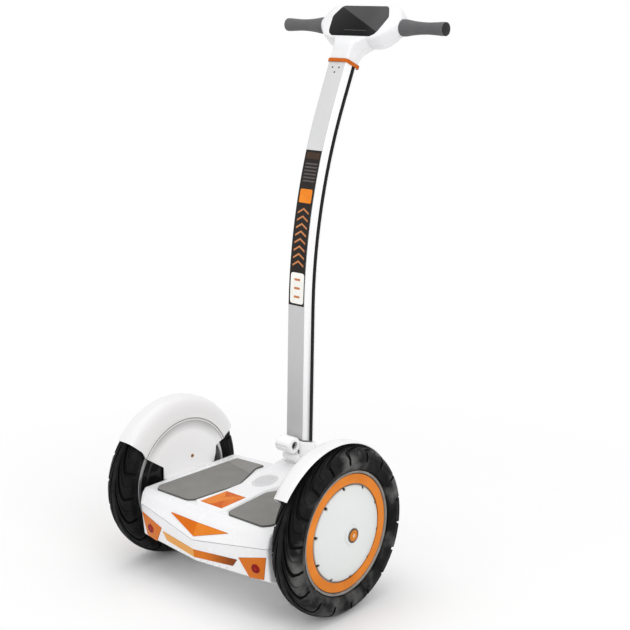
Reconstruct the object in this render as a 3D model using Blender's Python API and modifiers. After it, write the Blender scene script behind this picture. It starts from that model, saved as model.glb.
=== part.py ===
"""A self-balancing scooter with two wheels, built as the pieces it comes apart into.

Units are metres. +Z is up, +Y is the way it drives and +X is the rider's right.
Measures along Y in this file start at the wheel axles: the parent empty
"scooter" moves everything by AXLE_Y, which puts the origin under the middle.
"""

import math

import bmesh
import bpy
from mathutils import Matrix, Vector

# Whole machine
AXLE_Y = -0.1187
GAP = 0.0003
PROUD = 0.0012

# Wheels: R is a radius, s is a distance outboard of the wheel's middle plane
WHEEL_R = 0.180
WHEEL_X = 0.246
TREAD_PITCHES = 18
TREAD_DEPTH = 0.0032
RIM_STEPS = 24
HUB_STEPS = 14
AXLE_R = 0.0080

# Deck and body
HALF_WIDTH = 0.190
DECK_Z = 0.2035
FLOOR_Z = 0.0880
WALL = 0.0030
SEAM_GAP = 0.0005
CHEVRON = 0.145
MAT_THICK = 0.0027
POCKET = 0.0012

# Mast
MAST_WIDTH = 0.050
MAST_DEPTH = 0.044
MAST_WALL = 0.0025
MAST_FOOT = (0.1405, 0.2560)
MAST_BEND_Z = 0.580
MAST_BEND_R = 1.170
LOWER_LEAN = math.radians(1.5)
UPPER_LEAN = math.radians(24.0)
MAST_TOP_Z = 1.1085
GROOVE_FROM_REAR = 0.0220
GROOVE_WIDTH = 0.0110
GROOVE_DEPTH = 0.0020

# Lean pivot: an axis along Y under the mast
PIVOT_Z = 0.2150
KNUCKLE_R = 0.0245
KNUCKLE_Y = (0.1340, 0.1760)

# Handlebar
BAR_Y = 0.3750
BAR_Z = 1.1770
BAR_R = 0.0100
GRIP_ROOT_X = 0.1090
GRIP_END_X = 0.2240

FINISHES = {
    "white_plastic": ((0.87, 0.87, 0.89), 0.30, 0.0),
    "orange_plastic": ((0.84, 0.21, 0.015), 0.35, 0.0),
    "orange_lens": ((0.86, 0.22, 0.02), 0.15, 0.0),
    "red_lens": ((0.40, 0.015, 0.01), 0.12, 0.0),
    "grey_mat": ((0.27, 0.27, 0.255), 0.80, 0.0),
    "grey_grip": ((0.11, 0.11, 0.11), 0.70, 0.0),
    "dark_rubber": ((0.012, 0.012, 0.013), 0.75, 0.0),
    "black_plastic": ((0.010, 0.010, 0.010), 0.25, 0.0),
    "display_glass": ((0.006, 0.006, 0.006), 0.05, 0.0),
    "grille_grey": ((0.60, 0.60, 0.60), 0.45, 0.0),
    "aluminium": ((0.60, 0.60, 0.61), 0.35, 1.0),
    "mast_grey": ((0.55, 0.55, 0.55), 0.40, 0.3),
    "steel": ((0.42, 0.42, 0.43), 0.35, 1.0),
    "copper": ((0.60, 0.25, 0.10), 0.40, 1.0),
    "board_green": ((0.02, 0.12, 0.05), 0.50, 0.0),
    "battery_blue": ((0.03, 0.08, 0.30), 0.45, 0.0),
}


def new_collection(name):
    found = bpy.data.collections.new(name)
    bpy.context.scene.collection.children.link(found)
    return found


for old in list(bpy.data.objects):
    bpy.data.objects.remove(old)
PARTS = new_collection("self_balancing_scooter")
CUTTERS = new_collection("cutters")


def empty(name, at=(0, 0, 0), holder=None):
    """An empty at a joint or a datum, which its pieces are parented to."""
    found = bpy.data.objects.new(name, None)
    found.location = at
    found.parent = holder
    PARTS.objects.link(found)
    return found


def finish(obj, kind):
    colour, rough, metal = FINISHES[kind]
    material = bpy.data.materials.new(obj.name + "_" + kind)
    material.use_nodes = True
    shader = material.node_tree.nodes["Principled BSDF"]
    shader.inputs["Base Color"].default_value = (*colour, 1.0)
    shader.inputs["Roughness"].default_value = rough
    shader.inputs["Metallic"].default_value = metal
    obj.data.materials.clear()
    obj.data.materials.append(material)


def piece(name, mesh, kind, holder, at=(0, 0, 0), turn=(0, 0, 0)):
    """One physical piece of the scooter, placed relative to its holder."""
    obj = bpy.data.objects.new(name, mesh)
    obj.location = at
    obj.rotation_euler = turn
    obj.parent = holder
    PARTS.objects.link(obj)
    finish(obj, kind)
    return obj


def tool(name, mesh, holder, at=(0, 0, 0), turn=(0, 0, 0)):
    """A helper solid that cuts or joins a piece and isn't part of the scooter."""
    obj = bpy.data.objects.new("tool_" + name, mesh)
    obj.location = at
    obj.rotation_euler = turn
    obj.parent = holder
    obj.hide_render = True
    obj.display_type = "WIRE"
    CUTTERS.objects.link(obj)
    return obj


def boolean(obj, helper, operation="DIFFERENCE"):
    modifier = obj.modifiers.new(operation.lower(), "BOOLEAN")
    modifier.operation = operation
    modifier.object = helper
    modifier.solver = "EXACT"


def bevel(obj, width, segments=2, angle=30):
    modifier = obj.modifiers.new("bevel", "BEVEL")
    modifier.width = width
    modifier.segments = segments
    modifier.limit_method = "ANGLE"
    modifier.angle_limit = math.radians(angle)
    modifier.harden_normals = False


def solidify(obj, thickness, offset=-1.0):
    modifier = obj.modifiers.new("wall", "SOLIDIFY")
    modifier.thickness = thickness
    modifier.offset = offset
    modifier.use_even_offset = True
    modifier.use_quality_normals = True


def mesh_from(bm, name, smooth=False):
    mesh = bpy.data.meshes.new(name)
    bm.to_mesh(mesh)
    bm.free()
    if smooth:
        mesh.shade_smooth()
        mesh.set_sharp_from_angle(angle=math.radians(35))
    return mesh


def box(low, high, round_by=0.0):
    """A box between two corners, its edges rounded where round_by is given."""
    bm = bmesh.new()
    bmesh.ops.create_cube(bm, size=1.0)
    size = [b - a for a, b in zip(low, high)]
    middle = [(a + b) / 2 for a, b in zip(low, high)]
    bmesh.ops.scale(bm, vec=size, verts=bm.verts)
    bmesh.ops.translate(bm, vec=middle, verts=bm.verts)
    if round_by:
        bmesh.ops.bevel(
            bm, geom=bm.edges, offset=round_by, segments=2, profile=0.5, affect="EDGES"
        )
    return mesh_from(bm, "box")


def rod(radius, start, end, steps=HUB_STEPS, end_radius=None):
    """A cylinder or cone between two points."""
    axis = Vector(end) - Vector(start)
    bm = bmesh.new()
    bmesh.ops.create_cone(
        bm,
        cap_ends=True,
        segments=steps,
        radius1=radius,
        radius2=radius if end_radius is None else end_radius,
        depth=axis.length,
    )
    spin = axis.to_track_quat("Z", "Y").to_matrix().to_4x4()
    middle = (Vector(start) + Vector(end)) / 2
    bmesh.ops.transform(bm, matrix=Matrix.Translation(middle) @ spin, verts=bm.verts)
    return mesh_from(bm, "rod", smooth=True)


def plate(outline, thickness, holes=()):
    """A flat outline made a solid, from z = 0 up to its thickness.

    The outline and its holes are lists of (x, y) points. The filled curve's caps
    are welded to its sides, so the mesh can be cut and bevelled.
    """
    curve = bpy.data.curves.new("outline", "CURVE")
    curve.dimensions = "2D"
    curve.fill_mode = "BOTH"
    curve.extrude = thickness / 2
    for points in (outline, *holes):
        spline = curve.splines.new("POLY")
        spline.points.add(len(points) - 1)
        for point, (x, y) in zip(spline.points, points):
            point.co = (x, y, 0.0, 1.0)
        spline.use_cyclic_u = True
    drawn = bpy.data.objects.new("outline", curve)
    CUTTERS.objects.link(drawn)
    graph = bpy.context.evaluated_depsgraph_get()
    mesh = bpy.data.meshes.new_from_object(drawn.evaluated_get(graph))
    bpy.data.objects.remove(drawn)
    bm = bmesh.new()
    bm.from_mesh(mesh)
    bmesh.ops.remove_doubles(bm, verts=bm.verts, dist=1e-5)
    bmesh.ops.translate(bm, vec=(0, 0, thickness / 2), verts=bm.verts)
    bmesh.ops.recalc_face_normals(bm, faces=bm.faces)
    return mesh_from(bm, "plate")


def arc(centre, radius, start, end, steps):
    """Points of a round stretch of an outline, with its angles in degrees."""
    found = []
    for i in range(steps + 1):
        angle = math.radians(start + (end - start) * i / steps)
        found.append(
            (centre[0] + radius * math.cos(angle), centre[1] + radius * math.sin(angle))
        )
    return found


def ellipse(half_x, half_y, steps):
    return [(x * half_x, y * half_y) for x, y in arc((0, 0), 1, 0, 360, steps)[:-1]]


def outer_side_down(points):
    """The points ordered so that a Screw modifier gives faces that point out."""
    area = 0.0
    for (r0, z0), (r1, z1) in zip(points, points[1:] + points[:1]):
        area += r0 * z1 - r1 * z0
    return points if area < 0 else points[::-1]


def turned(name, profile, kind, holder, steps=RIM_STEPS, at=(0, 0, 0), turn=(0, 0, 0)):
    """A turned piece: (radius, height) points swept round its own Z axis.

    A profile that starts and ends at radius 0 closes on the axis. Any other
    profile is a ring.
    """
    points = outer_side_down(list(profile))
    on_axis = sum(1 for r, _ in points if r == 0)
    if on_axis:
        while points[0][0] != 0 or points[-1][0] != 0:
            points = points[1:] + points[:1]
    mesh = bpy.data.meshes.new(name)
    edges = [(i, i + 1) for i in range(len(points) - 1)]
    if not on_axis:
        edges.append((len(points) - 1, 0))
    mesh.from_pydata([(r, 0, z) for r, z in points], edges, [])
    obj = piece(name, mesh, kind, holder, at, turn)
    screw = obj.modifiers.new("turn", "SCREW")
    screw.steps = steps
    screw.render_steps = steps
    screw.use_merge_vertices = True
    screw.merge_threshold = 1e-5
    screw.use_smooth_shade = True
    return obj


def sweep(profile, stations, closed_ends=True):
    """A closed profile carried along stations, each a 4x4 matrix.

    The profile lies in each station's XY plane. Without closed_ends the result
    is an open sleeve, for a Solidify modifier.
    """
    bm = bmesh.new()
    loop = [bm.verts.new(stations[0] @ Vector((x, y, 0))) for x, y in profile]
    edges = [bm.edges.new((a, b)) for a, b in zip(loop, loop[1:] + loop[:1])]
    if closed_ends:
        bm.faces.new(loop[::-1])
    for before, after in zip(stations, stations[1:]):
        extruded = bmesh.ops.extrude_edge_only(bm, edges=edges)
        moved = [v for v in extruded["geom"] if isinstance(v, bmesh.types.BMVert)]
        bmesh.ops.transform(bm, matrix=after @ before.inverted(), verts=moved)
        edges = [e for e in extruded["geom"] if isinstance(e, bmesh.types.BMEdge)]
    if closed_ends:
        bmesh.ops.contextual_create(bm, geom=edges)
    bmesh.ops.recalc_face_normals(bm, faces=bm.faces)
    return mesh_from(bm, "sweep", smooth=True)


def loft(rings):
    """A closed solid through rings of the same number of points."""
    bm = bmesh.new()
    made = [[bm.verts.new(point) for point in ring] for ring in rings]
    for lower, upper in zip(made, made[1:]):
        for i in range(len(lower)):
            j = (i + 1) % len(lower)
            bm.faces.new((lower[i], lower[j], upper[j], upper[i]))
    bm.faces.new(made[0])
    bm.faces.new(made[-1][::-1])
    bmesh.ops.triangulate(bm, faces=bm.faces)
    bmesh.ops.recalc_face_normals(bm, faces=bm.faces)
    return mesh_from(bm, "loft", smooth=True)


scooter = empty("scooter", (0, AXLE_Y, 0))


# Body shells

# The body's side view at its middle (x = 0) and at its sides (x = HALF_WIDTH).
# Both ends of the deck are chevrons: they point away from the axles.
COVER_MIDDLE = [
    (-0.1780, 0.1470), (-0.1560, 0.1940), (-0.1400, DECK_Z),
    (0.1560, DECK_Z), (0.1860, 0.1930), (0.2000, 0.1600),
]
COVER_SIDE = [
    (-0.1520, 0.1710), (-0.1460, 0.1930), (-0.1370, DECK_Z),
    (0.1400, DECK_Z), (0.1580, 0.1930), (0.1680, 0.1710),
]
TUB_MIDDLE = [
    (-0.1780, 0.1470), (-0.1715, 0.0990), (-0.1500, FLOOR_Z),
    (0.1700, FLOOR_Z), (0.1910, 0.0990), (0.2000, 0.1600),
]
TUB_SIDE = [
    (-0.1520, 0.1710), (-0.1440, 0.0965), (-0.1280, FLOOR_Z),
    (0.1420, FLOOR_Z), (0.1590, 0.0965), (0.1680, 0.1710),
]
OVERRUN = 0.0060


def stretched(line):
    """The line with both ends run past the parting line, to be cut off there."""
    found = [Vector(point) for point in line]
    for end, inner in ((0, 1), (-1, -2)):
        found[end] += (found[end] - found[inner]).normalized() * OVERRUN
    return [tuple(point) for point in found]


def parting_half(far_z, shift):
    """All the room above or below the surface where the two body shells meet."""
    rings = []
    for side in (-1.05, 0.0, 1.05):
        rear, front = (
            COVER_MIDDLE[end][1] + (COVER_SIDE[end][1] - COVER_MIDDLE[end][1]) * abs(side) + shift
            for end in (0, -1)
        )
        outline = [
            (-0.3, rear), (-0.05, rear), (0.05, front), (0.3, front), (0.3, far_z), (-0.3, far_z),
        ]
        rings.append([(side * HALF_WIDTH, y, z) for y, z in outline])
    return loft(rings)


def body_sheet(middle, side, half_width):
    """The open skin of one body shell, from its side view at three places."""
    bm = bmesh.new()
    columns = []
    for x, line in ((-half_width, side), (0.0, middle), (half_width, side)):
        columns.append([bm.verts.new((x, y, z)) for y, z in line])
    for left, right in zip(columns, columns[1:]):
        for i in range(len(left) - 1):
            bm.faces.new((left[i], right[i], right[i + 1], left[i + 1]))
    bm.faces.new(columns[0])
    bm.faces.new(columns[-1][::-1])
    bmesh.ops.recalc_face_normals(bm, faces=bm.faces)
    return mesh_from(bm, "shell")


def wall_place(middle, side, x, z):
    """How far back a shell's rear wall is, at a place across and a height."""
    ends = []
    for (y_a, z_a), (y_b, z_b) in (middle[:2], side[:2]):
        ends.append(y_a + (y_b - y_a) * (z - z_a) / (z_b - z_a))
    return ends[0] + (ends[1] - ends[0]) * abs(x) / HALF_WIDTH


def tub_rear_y(x, z):
    return wall_place(TUB_MIDDLE, TUB_SIDE, x, z)


def cover_slope_y(x, z):
    return wall_place(COVER_MIDDLE, COVER_SIDE, x, z)


def inlay(tops, lows, wall_y, proud, depth):
    """A solid that lies in a rear wall: its columns run from left to right."""
    bm = bmesh.new()
    rows = []
    for line in (tops, lows):
        for shift in (-proud, depth):
            rows.append([bm.verts.new((x, wall_y(x, z) + shift, z)) for x, z in line])
    top_out, top_in, low_out, low_in = rows
    for i in range(len(tops) - 1):
        bm.faces.new((low_out[i], low_out[i + 1], top_out[i + 1], top_out[i]))
        bm.faces.new((top_in[i], top_in[i + 1], low_in[i + 1], low_in[i]))
        bm.faces.new((top_out[i], top_out[i + 1], top_in[i + 1], top_in[i]))
        bm.faces.new((low_in[i], low_in[i + 1], low_out[i + 1], low_out[i]))
    bm.faces.new((low_out[0], top_out[0], top_in[0], low_in[0]))
    bm.faces.new((low_in[-1], top_in[-1], top_out[-1], low_out[-1]))
    bmesh.ops.remove_doubles(bm, verts=bm.verts, dist=1e-6)
    bmesh.ops.dissolve_degenerate(bm, edges=bm.edges, dist=1e-6)
    bmesh.ops.recalc_face_normals(bm, faces=bm.faces)
    return mesh_from(bm, "inlay")


def grown(line, by_x, by_z, middle_x):
    """The line's points moved away from the inlay's middle, for its pocket."""
    return [(x + math.copysign(by_x, x - middle_x) * (x != middle_x), z + by_z) for x, z in line]


EDGE_ROUND = 0.0040
TUB_INSET = 0.0010


def body_shell(name, middle, side, half_width, seam_side):
    """One body shell: a thin skin with rounded edges, cut off at the seam."""
    skin = body_sheet(stretched(middle), stretched(side), half_width)
    shell = piece(name, skin, "white_plastic", scooter)
    bevel(shell, EDGE_ROUND, 1, 12)
    solidify(shell, WALL)
    boolean(shell, tool(name + "_side_of_seam", parting_half(*seam_side), scooter), "INTERSECT")
    return shell


top_cover = body_shell(
    "top_cover", COVER_MIDDLE, COVER_SIDE, HALF_WIDTH, (0.4, SEAM_GAP / 2)
)
lower_shell = body_shell(
    "lower_shell", TUB_MIDDLE, TUB_SIDE, HALF_WIDTH - TUB_INSET, (-0.1, -SEAM_GAP / 2)
)

# The raised middle of the deck: (y, half width, top, foot) from rear to front
TUNNEL = [
    (-0.1330, 0.0300, 0.2040, 0.2010), (-0.1220, 0.0440, 0.2085, 0.2010),
    (-0.0450, 0.0370, 0.2085, 0.2010), (0.0050, 0.0340, 0.2100, 0.2010),
    (0.0420, 0.0450, 0.2130, 0.2010), (0.0780, 0.0440, 0.2165, 0.2010),
    (0.1000, 0.0380, 0.2215, 0.2010), (0.1200, 0.0340, 0.2280, 0.2010),
    (0.1380, 0.0340, 0.2300, 0.2000), (0.1820, 0.0330, 0.2300, 0.1900),
    (0.1915, 0.0300, 0.2240, 0.1800), (0.1930, 0.0180, 0.1950, 0.1640),
]
TUNNEL_FLANK = 0.60


def tunnel_mesh():
    bm = bmesh.new()
    rows = []
    for y, half, top, foot in TUNNEL:
        low = half + TUNNEL_FLANK * (top - foot)
        rows.append([bm.verts.new(p) for p in (
            (-low, y, foot), (-half, y, top), (half, y, top), (low, y, foot),
        )])
    for back, front in zip(rows, rows[1:]):
        for i in range(4):
            j = (i + 1) % 4
            bm.faces.new((back[i], back[j], front[j], front[i]))
    bm.faces.new(rows[0])
    bm.faces.new(rows[-1][::-1])
    bmesh.ops.recalc_face_normals(bm, faces=bm.faces)
    return mesh_from(bm, "tunnel")


tunnel = tool("tunnel", tunnel_mesh(), scooter)
bevel(tunnel, 0.002, 1, 25)
boolean(top_cover, tunnel, "UNION")


# Mats, badge and grille, each in a shallow pocket of the cover

MAT_OUTLINE = [
    (0.0500, -0.1200), (0.0620, -0.1320), (0.1550, -0.1320), (0.1680, -0.1150),
    (0.1580, 0.1190), (0.0770, 0.1250), (0.0790, 0.0990), (0.0530, 0.0390), (0.0380, 0.0050),
]
BADGE_OUTLINE = [(-0.0315, -0.1220), (-0.0285, -0.0460), (0.0285, -0.0460), (0.0315, -0.1220)]


def offset_outline(points, by):
    """The outline with every side moved outwards by the same distance."""
    area = sum(a[0] * b[1] - b[0] * a[1] for a, b in zip(points, points[1:] + points[:1]))
    side = math.copysign(by, area)
    moved = []
    count = len(points)
    for i in range(count):
        before, here, after = (Vector(points[(i + k) % count]) for k in (-1, 0, 1))
        first = (here - before).normalized()
        second = (after - here).normalized()
        normal_a = Vector((first.y, -first.x))
        normal_b = Vector((second.y, -second.x))
        middle = (normal_a + normal_b).normalized()
        moved.append(tuple(here + middle * (side / middle.dot(normal_a))))
    return moved


def mirrored(points):
    return [(-x, y) for x, y in points][::-1]


def inset_piece(name, outline, kind, floor_z, thickness, edge):
    """A flat piece in a pocket of the cover that is a gap wider than it."""
    pocket = tool(
        name + "_pocket",
        plate(offset_outline(outline, GAP + 0.0001), 0.02),
        scooter,
        (0, 0, floor_z - GAP),
    )
    boolean(top_cover, pocket)
    found = piece(name, plate(outline, thickness), kind, scooter, (0, 0, floor_z))
    if edge:
        bevel(found, edge, 1, 60)
    return found


MAT_FLOOR_Z = DECK_Z - POCKET
inset_piece("mat_right", MAT_OUTLINE, "grey_mat", MAT_FLOOR_Z, MAT_THICK, 0.0008)
inset_piece("mat_left", mirrored(MAT_OUTLINE), "grey_mat", MAT_FLOOR_Z, MAT_THICK, 0.0008)
inset_piece("deck_badge", BADGE_OUTLINE, "orange_plastic", 0.2085 - POCKET, 0.0020, 0.0)

GRILLE_CENTRE = (0.0, 0.0500)
GRILLE_HALF = (0.0280, 0.0330)
GRILLE_TILT = math.atan2(0.0035, 0.0360)
GRILLE_Z = 0.2130 + 0.0035 * (GRILLE_CENTRE[1] - 0.0420) / 0.0360
GRILLE_ROWS = 5
GRILLE_PITCH = (0.0090, 0.0095)
GRILLE_BORDER = 0.0060
GRILLE_HOLE_R = 0.0022

grille_holes = []
for row in range(-GRILLE_ROWS // 2 + 1, GRILLE_ROWS // 2 + 1):
    for column in range(-2, 3):
        x = GRILLE_PITCH[0] * (column + 0.5 * (row % 2))
        y = GRILLE_PITCH[1] * row
        reach = Vector((x / (GRILLE_HALF[0] - GRILLE_BORDER), y / (GRILLE_HALF[1] - GRILLE_BORDER)))
        if reach.length < 1:
            grille_holes.append(arc((x, y), GRILLE_HOLE_R, 360, 0, 6)[:-1])
grille_place = (0, GRILLE_CENTRE[1], GRILLE_Z - POCKET)
speaker_grille = piece(
    "speaker_grille",
    plate(ellipse(*GRILLE_HALF, 24), 0.0020, grille_holes),
    "grille_grey",
    scooter,
    grille_place,
    (GRILLE_TILT, 0, 0),
)
grille_pocket = tool(
    "grille_pocket",
    plate(ellipse(GRILLE_HALF[0] + 2 * GAP, GRILLE_HALF[1] + 2 * GAP, 24), 0.02),
    scooter,
    (0, grille_place[1], grille_place[2] - GAP),
    (GRILLE_TILT, 0, 0),
)
boolean(top_cover, grille_pocket)
sound_hole = tool("sound_hole", rod(0.0200, (0, 0.050, 0.190), (0, 0.050, 0.222), 16), scooter)
boolean(top_cover, sound_hole)


# Rear lamps and trim

TRIANGLE_TOPS = [(-0.0850, 0.1790), (0.0, 0.1810), (0.0850, 0.1790)]
TRIANGLE_LOWS = [(-0.0850, 0.1790), (0.0, 0.1545), (0.0850, 0.1790)]
STRIP_TOPS = [(-0.1110, 0.1290), (0.0, 0.1245), (0.1110, 0.1290)]
STRIP_LOWS = [(-0.0980, 0.1120), (0.0, 0.1070), (0.0980, 0.1120)]
LAMP_TOPS = [(0.1150, 0.1350), (0.1840, 0.1520)]
LAMP_LOWS = [(0.1350, 0.0985), (0.1730, 0.1020)]
LENS_DEPTH = 0.0016
REFLECTOR_R = 0.0100
REFLECTOR_AT = (0.1560, 0.1225)


def rear_inlay(name, shell, wall_y, tops, lows, kind):
    """A lens or trim piece in the rear wall, and the pocket that it fills."""
    middle_x = (tops[0][0] + tops[-1][0]) / 2
    pocket = inlay(
        grown(tops, 0.0006, 0.0005, middle_x),
        grown(lows, 0.0006, -0.0005, middle_x),
        wall_y,
        0.02,
        LENS_DEPTH + GAP,
    )
    boolean(shell, tool(name + "_pocket", pocket, scooter))
    return piece(name, inlay(tops, lows, wall_y, PROUD, LENS_DEPTH), kind, scooter)


rear_inlay(
    "rear_triangle", top_cover, cover_slope_y, TRIANGLE_TOPS, TRIANGLE_LOWS, "orange_plastic"
)
rear_inlay("light_strip", lower_shell, tub_rear_y, STRIP_TOPS, STRIP_LOWS, "orange_lens")
for side, sign in (("right", 1), ("left", -1)):
    tops = [(x * sign, z) for x, z in LAMP_TOPS][::sign]
    lows = [(x * sign, z) for x, z in LAMP_LOWS][::sign]
    lamp = rear_inlay("lamp_" + side, lower_shell, tub_rear_y, tops, lows, "orange_lens")
    x, z = REFLECTOR_AT[0] * sign, REFLECTOR_AT[1]
    y = tub_rear_y(x, z)
    facing = Vector((CHEVRON * sign, -1.0, -0.1)).normalized()
    centre = Vector((x, y, z))
    seat = tool(
        "reflector_seat_" + side,
        rod(REFLECTOR_R + 0.0005, centre - facing * 0.0003, centre + facing * 0.02),
        scooter,
    )
    boolean(lamp, seat)
    piece(
        "reflector_" + side,
        rod(REFLECTOR_R, centre, centre + facing * 0.0026),
        "red_lens",
        scooter,
    )

# Gaps between the teeth under the bumper
TEETH = 11
TOOTH_PITCH = 0.0165
TOOTH_GAP_HALF = 0.0040

for i in range(-TEETH // 2 + 1, TEETH // 2 + 1):
    x = TOOTH_PITCH * i
    reach = -0.1640 + CHEVRON * abs(x)
    slot = box((x - TOOTH_GAP_HALF, -0.2, 0.0800), (x + TOOTH_GAP_HALF, reach, 0.1000))
    boolean(lower_shell, tool("tooth_gap_%d" % i, slot, scooter))


# Fenders

FENDER_START, FENDER_END = 27.0, 146.0
FENDER_STEPS = 13
FENDER_WALL = 0.0025
# From this radius outwards the skin is the arch over the tyre. It ends higher at the
# rear than the panel does, and is centred a little behind and below the axle.
ARCH_FROM_R = 0.1500
ARCH_START, ARCH_END = 28.0, 139.0
ARCH_CENTRE = (-0.0090, -0.0060)
# The outboard edge is drawn in near the rear end: from this far out, and by how much
FENDER_SPLIT_X = 0.2260
FENDER_REACH = 0.0300
FENDER_TAPER = 0.0030
FENDER_PROFILE = [
    (0.1937, 0.2540), (0.1962, 0.2460), (0.1962, 0.2240), (0.1905, 0.2148), (0.1751, 0.2080),
    (0.1540, 0.2055), (0.1400, 0.2040), (0.1370, 0.2070), (0.1120, 0.2040),
]
FENDER_PANEL_FRONT = [(0.0880, 0.0140), (0.0945, 0.0340)]
FENDER_PANEL_REAR = [(-0.0630, 0.0420), (-0.0630, 0.0140)]
FENDER_AXLE_R = 0.0130


def fender_mesh(sign):
    """The arch over the tyre and the panel beside it, as one open skin.

    Angles are counted up from straight ahead, round the axle.
    """
    bm = bmesh.new()
    first = Matrix.Rotation(math.radians(FENDER_START), 4, "X")
    loop = [bm.verts.new(first @ Vector((sign * x, r, 0))) for r, x in FENDER_PROFILE]
    edges = [bm.edges.new(pair) for pair in zip(loop, loop[1:])]
    bmesh.ops.spin(
        bm,
        geom=loop + edges,
        cent=(0, 0, 0),
        axis=(1, 0, 0),
        angle=math.radians(FENDER_END - FENDER_START),
        steps=FENDER_STEPS,
    )
    inner_r, inner_x = FENDER_PROFILE[-1]
    inner = [v for v in bm.verts if abs(math.hypot(v.co.y, v.co.z) - inner_r) < 1e-5]
    inner.sort(key=lambda v: math.atan2(v.co.z, v.co.y))
    corners = [
        bm.verts.new((sign * inner_x, y, z)) for y, z in FENDER_PANEL_REAR + FENDER_PANEL_FRONT
    ]
    bm.faces.new([*inner, *corners])
    stretch = (ARCH_END - ARCH_START) / (FENDER_END - FENDER_START)
    for vert in bm.verts:
        x, y, z = vert.co
        radius, angle = math.hypot(y, z), math.degrees(math.atan2(z, y))
        if radius < ARCH_FROM_R:
            continue
        angle = ARCH_START + (angle - FENDER_START) * stretch
        behind = max(0.0, angle - 90.0) / (ARCH_END - 90.0)
        outward = max(0.0, abs(x) - FENDER_SPLIT_X) / FENDER_REACH
        vert.co = (
            x - sign * FENDER_TAPER * behind ** 3 * outward,
            ARCH_CENTRE[0] + radius * math.cos(math.radians(angle)),
            ARCH_CENTRE[1] + radius * math.sin(math.radians(angle)),
        )
    bmesh.ops.recalc_face_normals(bm, faces=bm.faces)
    top = max(bm.faces, key=lambda face: face.calc_center_median().z)
    if top.normal.z < 0:
        bmesh.ops.reverse_faces(bm, faces=bm.faces)
    return mesh_from(bm, "fender", smooth=True)


for side, sign in (("right", 1), ("left", -1)):
    skin = fender_mesh(sign)
    fender = piece("fender_" + side, skin, "white_plastic", scooter, (0, 0, WHEEL_R))
    solidify(fender, FENDER_WALL)
    low_x, high_x = sorted((sign * 0.1925, sign * 0.2055))
    shelf = box((low_x, -0.060, 0.1900), (high_x, 0.0850, 0.1960))
    boolean(fender, tool("fender_shelf_" + side, shelf, scooter), "UNION")
    low_x, high_x = sorted((sign * (HALF_WIDTH + GAP), sign * 0.1935))
    tab = box((low_x, -0.055, 0.1740), (high_x, 0.0800, 0.1955))
    boolean(fender, tool("fender_tab_" + side, tab, scooter), "UNION")
    axle_hole = rod(FENDER_AXLE_R, (sign * 0.18, 0, WHEEL_R), (sign * 0.22, 0, WHEEL_R))
    boolean(fender, tool("fender_axle_" + side, axle_hole, scooter))


# Chassis inside the body

FRAME_X = (0.1760, 0.1820)
RAIL_Y = 0.0400

frame = piece(
    "chassis_frame",
    box((FRAME_X[0], -0.0550, 0.1060), (FRAME_X[1], 0.0550, 0.1960)),
    "steel",
    scooter,
)
far_plate = box((-FRAME_X[1], -0.0550, 0.1060), (-FRAME_X[0], 0.0550, 0.1960))
boolean(frame, tool("frame_plate", far_plate, scooter), "UNION")
for label, y in (("rear", -RAIL_Y), ("front", RAIL_Y)):
    rail = box((-0.1790, y - 0.0080, 0.1500), (0.1790, y + 0.0080, 0.1650))
    boolean(frame, tool("rail_" + label, rail, scooter), "UNION")
axle_bore = rod(AXLE_R + GAP + 0.0002, (-0.2, 0, WHEEL_R), (0.2, 0, WHEEL_R))
boolean(frame, tool("axle_bore", axle_bore, scooter))
side_hole = rod(0.0115, (-0.21, 0, WHEEL_R), (0.21, 0, WHEEL_R))
side_hole_tool = tool("side_hole", side_hole, scooter)
boolean(top_cover, side_hole_tool)
boolean(lower_shell, side_hole_tool)

cells = box((-0.0950, -0.1150, 0.0920), (0.0950, 0.0100, 0.1420), 0.004)
piece("battery_pack", cells, "battery_blue", scooter)
driver = box((-0.0750, 0.0250, 0.1000), (0.0750, 0.1400, 0.1016))
piece("control_board", driver, "board_green", scooter)

sink_base = box((-0.0500, 0.0400, 0.1020), (0.0500, 0.1200, 0.1050))
heat_sink = piece("heat_sink", sink_base, "aluminium", scooter)
for i in range(6):
    x = -0.0450 + 0.0180 * i
    fin = box((x - 0.0012, 0.0400, 0.1040), (x + 0.0012, 0.1200, 0.1200))
    boolean(heat_sink, tool("fin_%d" % i, fin, scooter), "UNION")

for side, sign in (("right", 1), ("left", -1)):
    low_x, high_x = sorted((sign * 0.0650, sign * 0.1500))
    switch = box((low_x, -0.0700, 0.1960), (high_x, 0.0700, DECK_Z - WALL - 0.0006))
    piece("foot_switch_" + side, switch, "dark_rubber", scooter)

SPEAKER_PROFILE = [
    (0.0190, 0.0), (0.0190, -0.0030), (0.0110, -0.0110), (0.0110, -0.0180),
    (0.0, -0.0180), (0.0, -0.0060), (0.0070, -0.0060), (0.0165, 0.0),
]
turned("speaker", SPEAKER_PROFILE, "black_plastic", scooter, 16, (0, 0.050, 0.2090))


# Lean pivot: bracket, pin, knuckle, spring and sensor

PIVOT_LUGS = ((0.1225, 0.1325), (0.1775, 0.1875))
PIN_R = 0.0040
LUG_HALF = 0.0080

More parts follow.
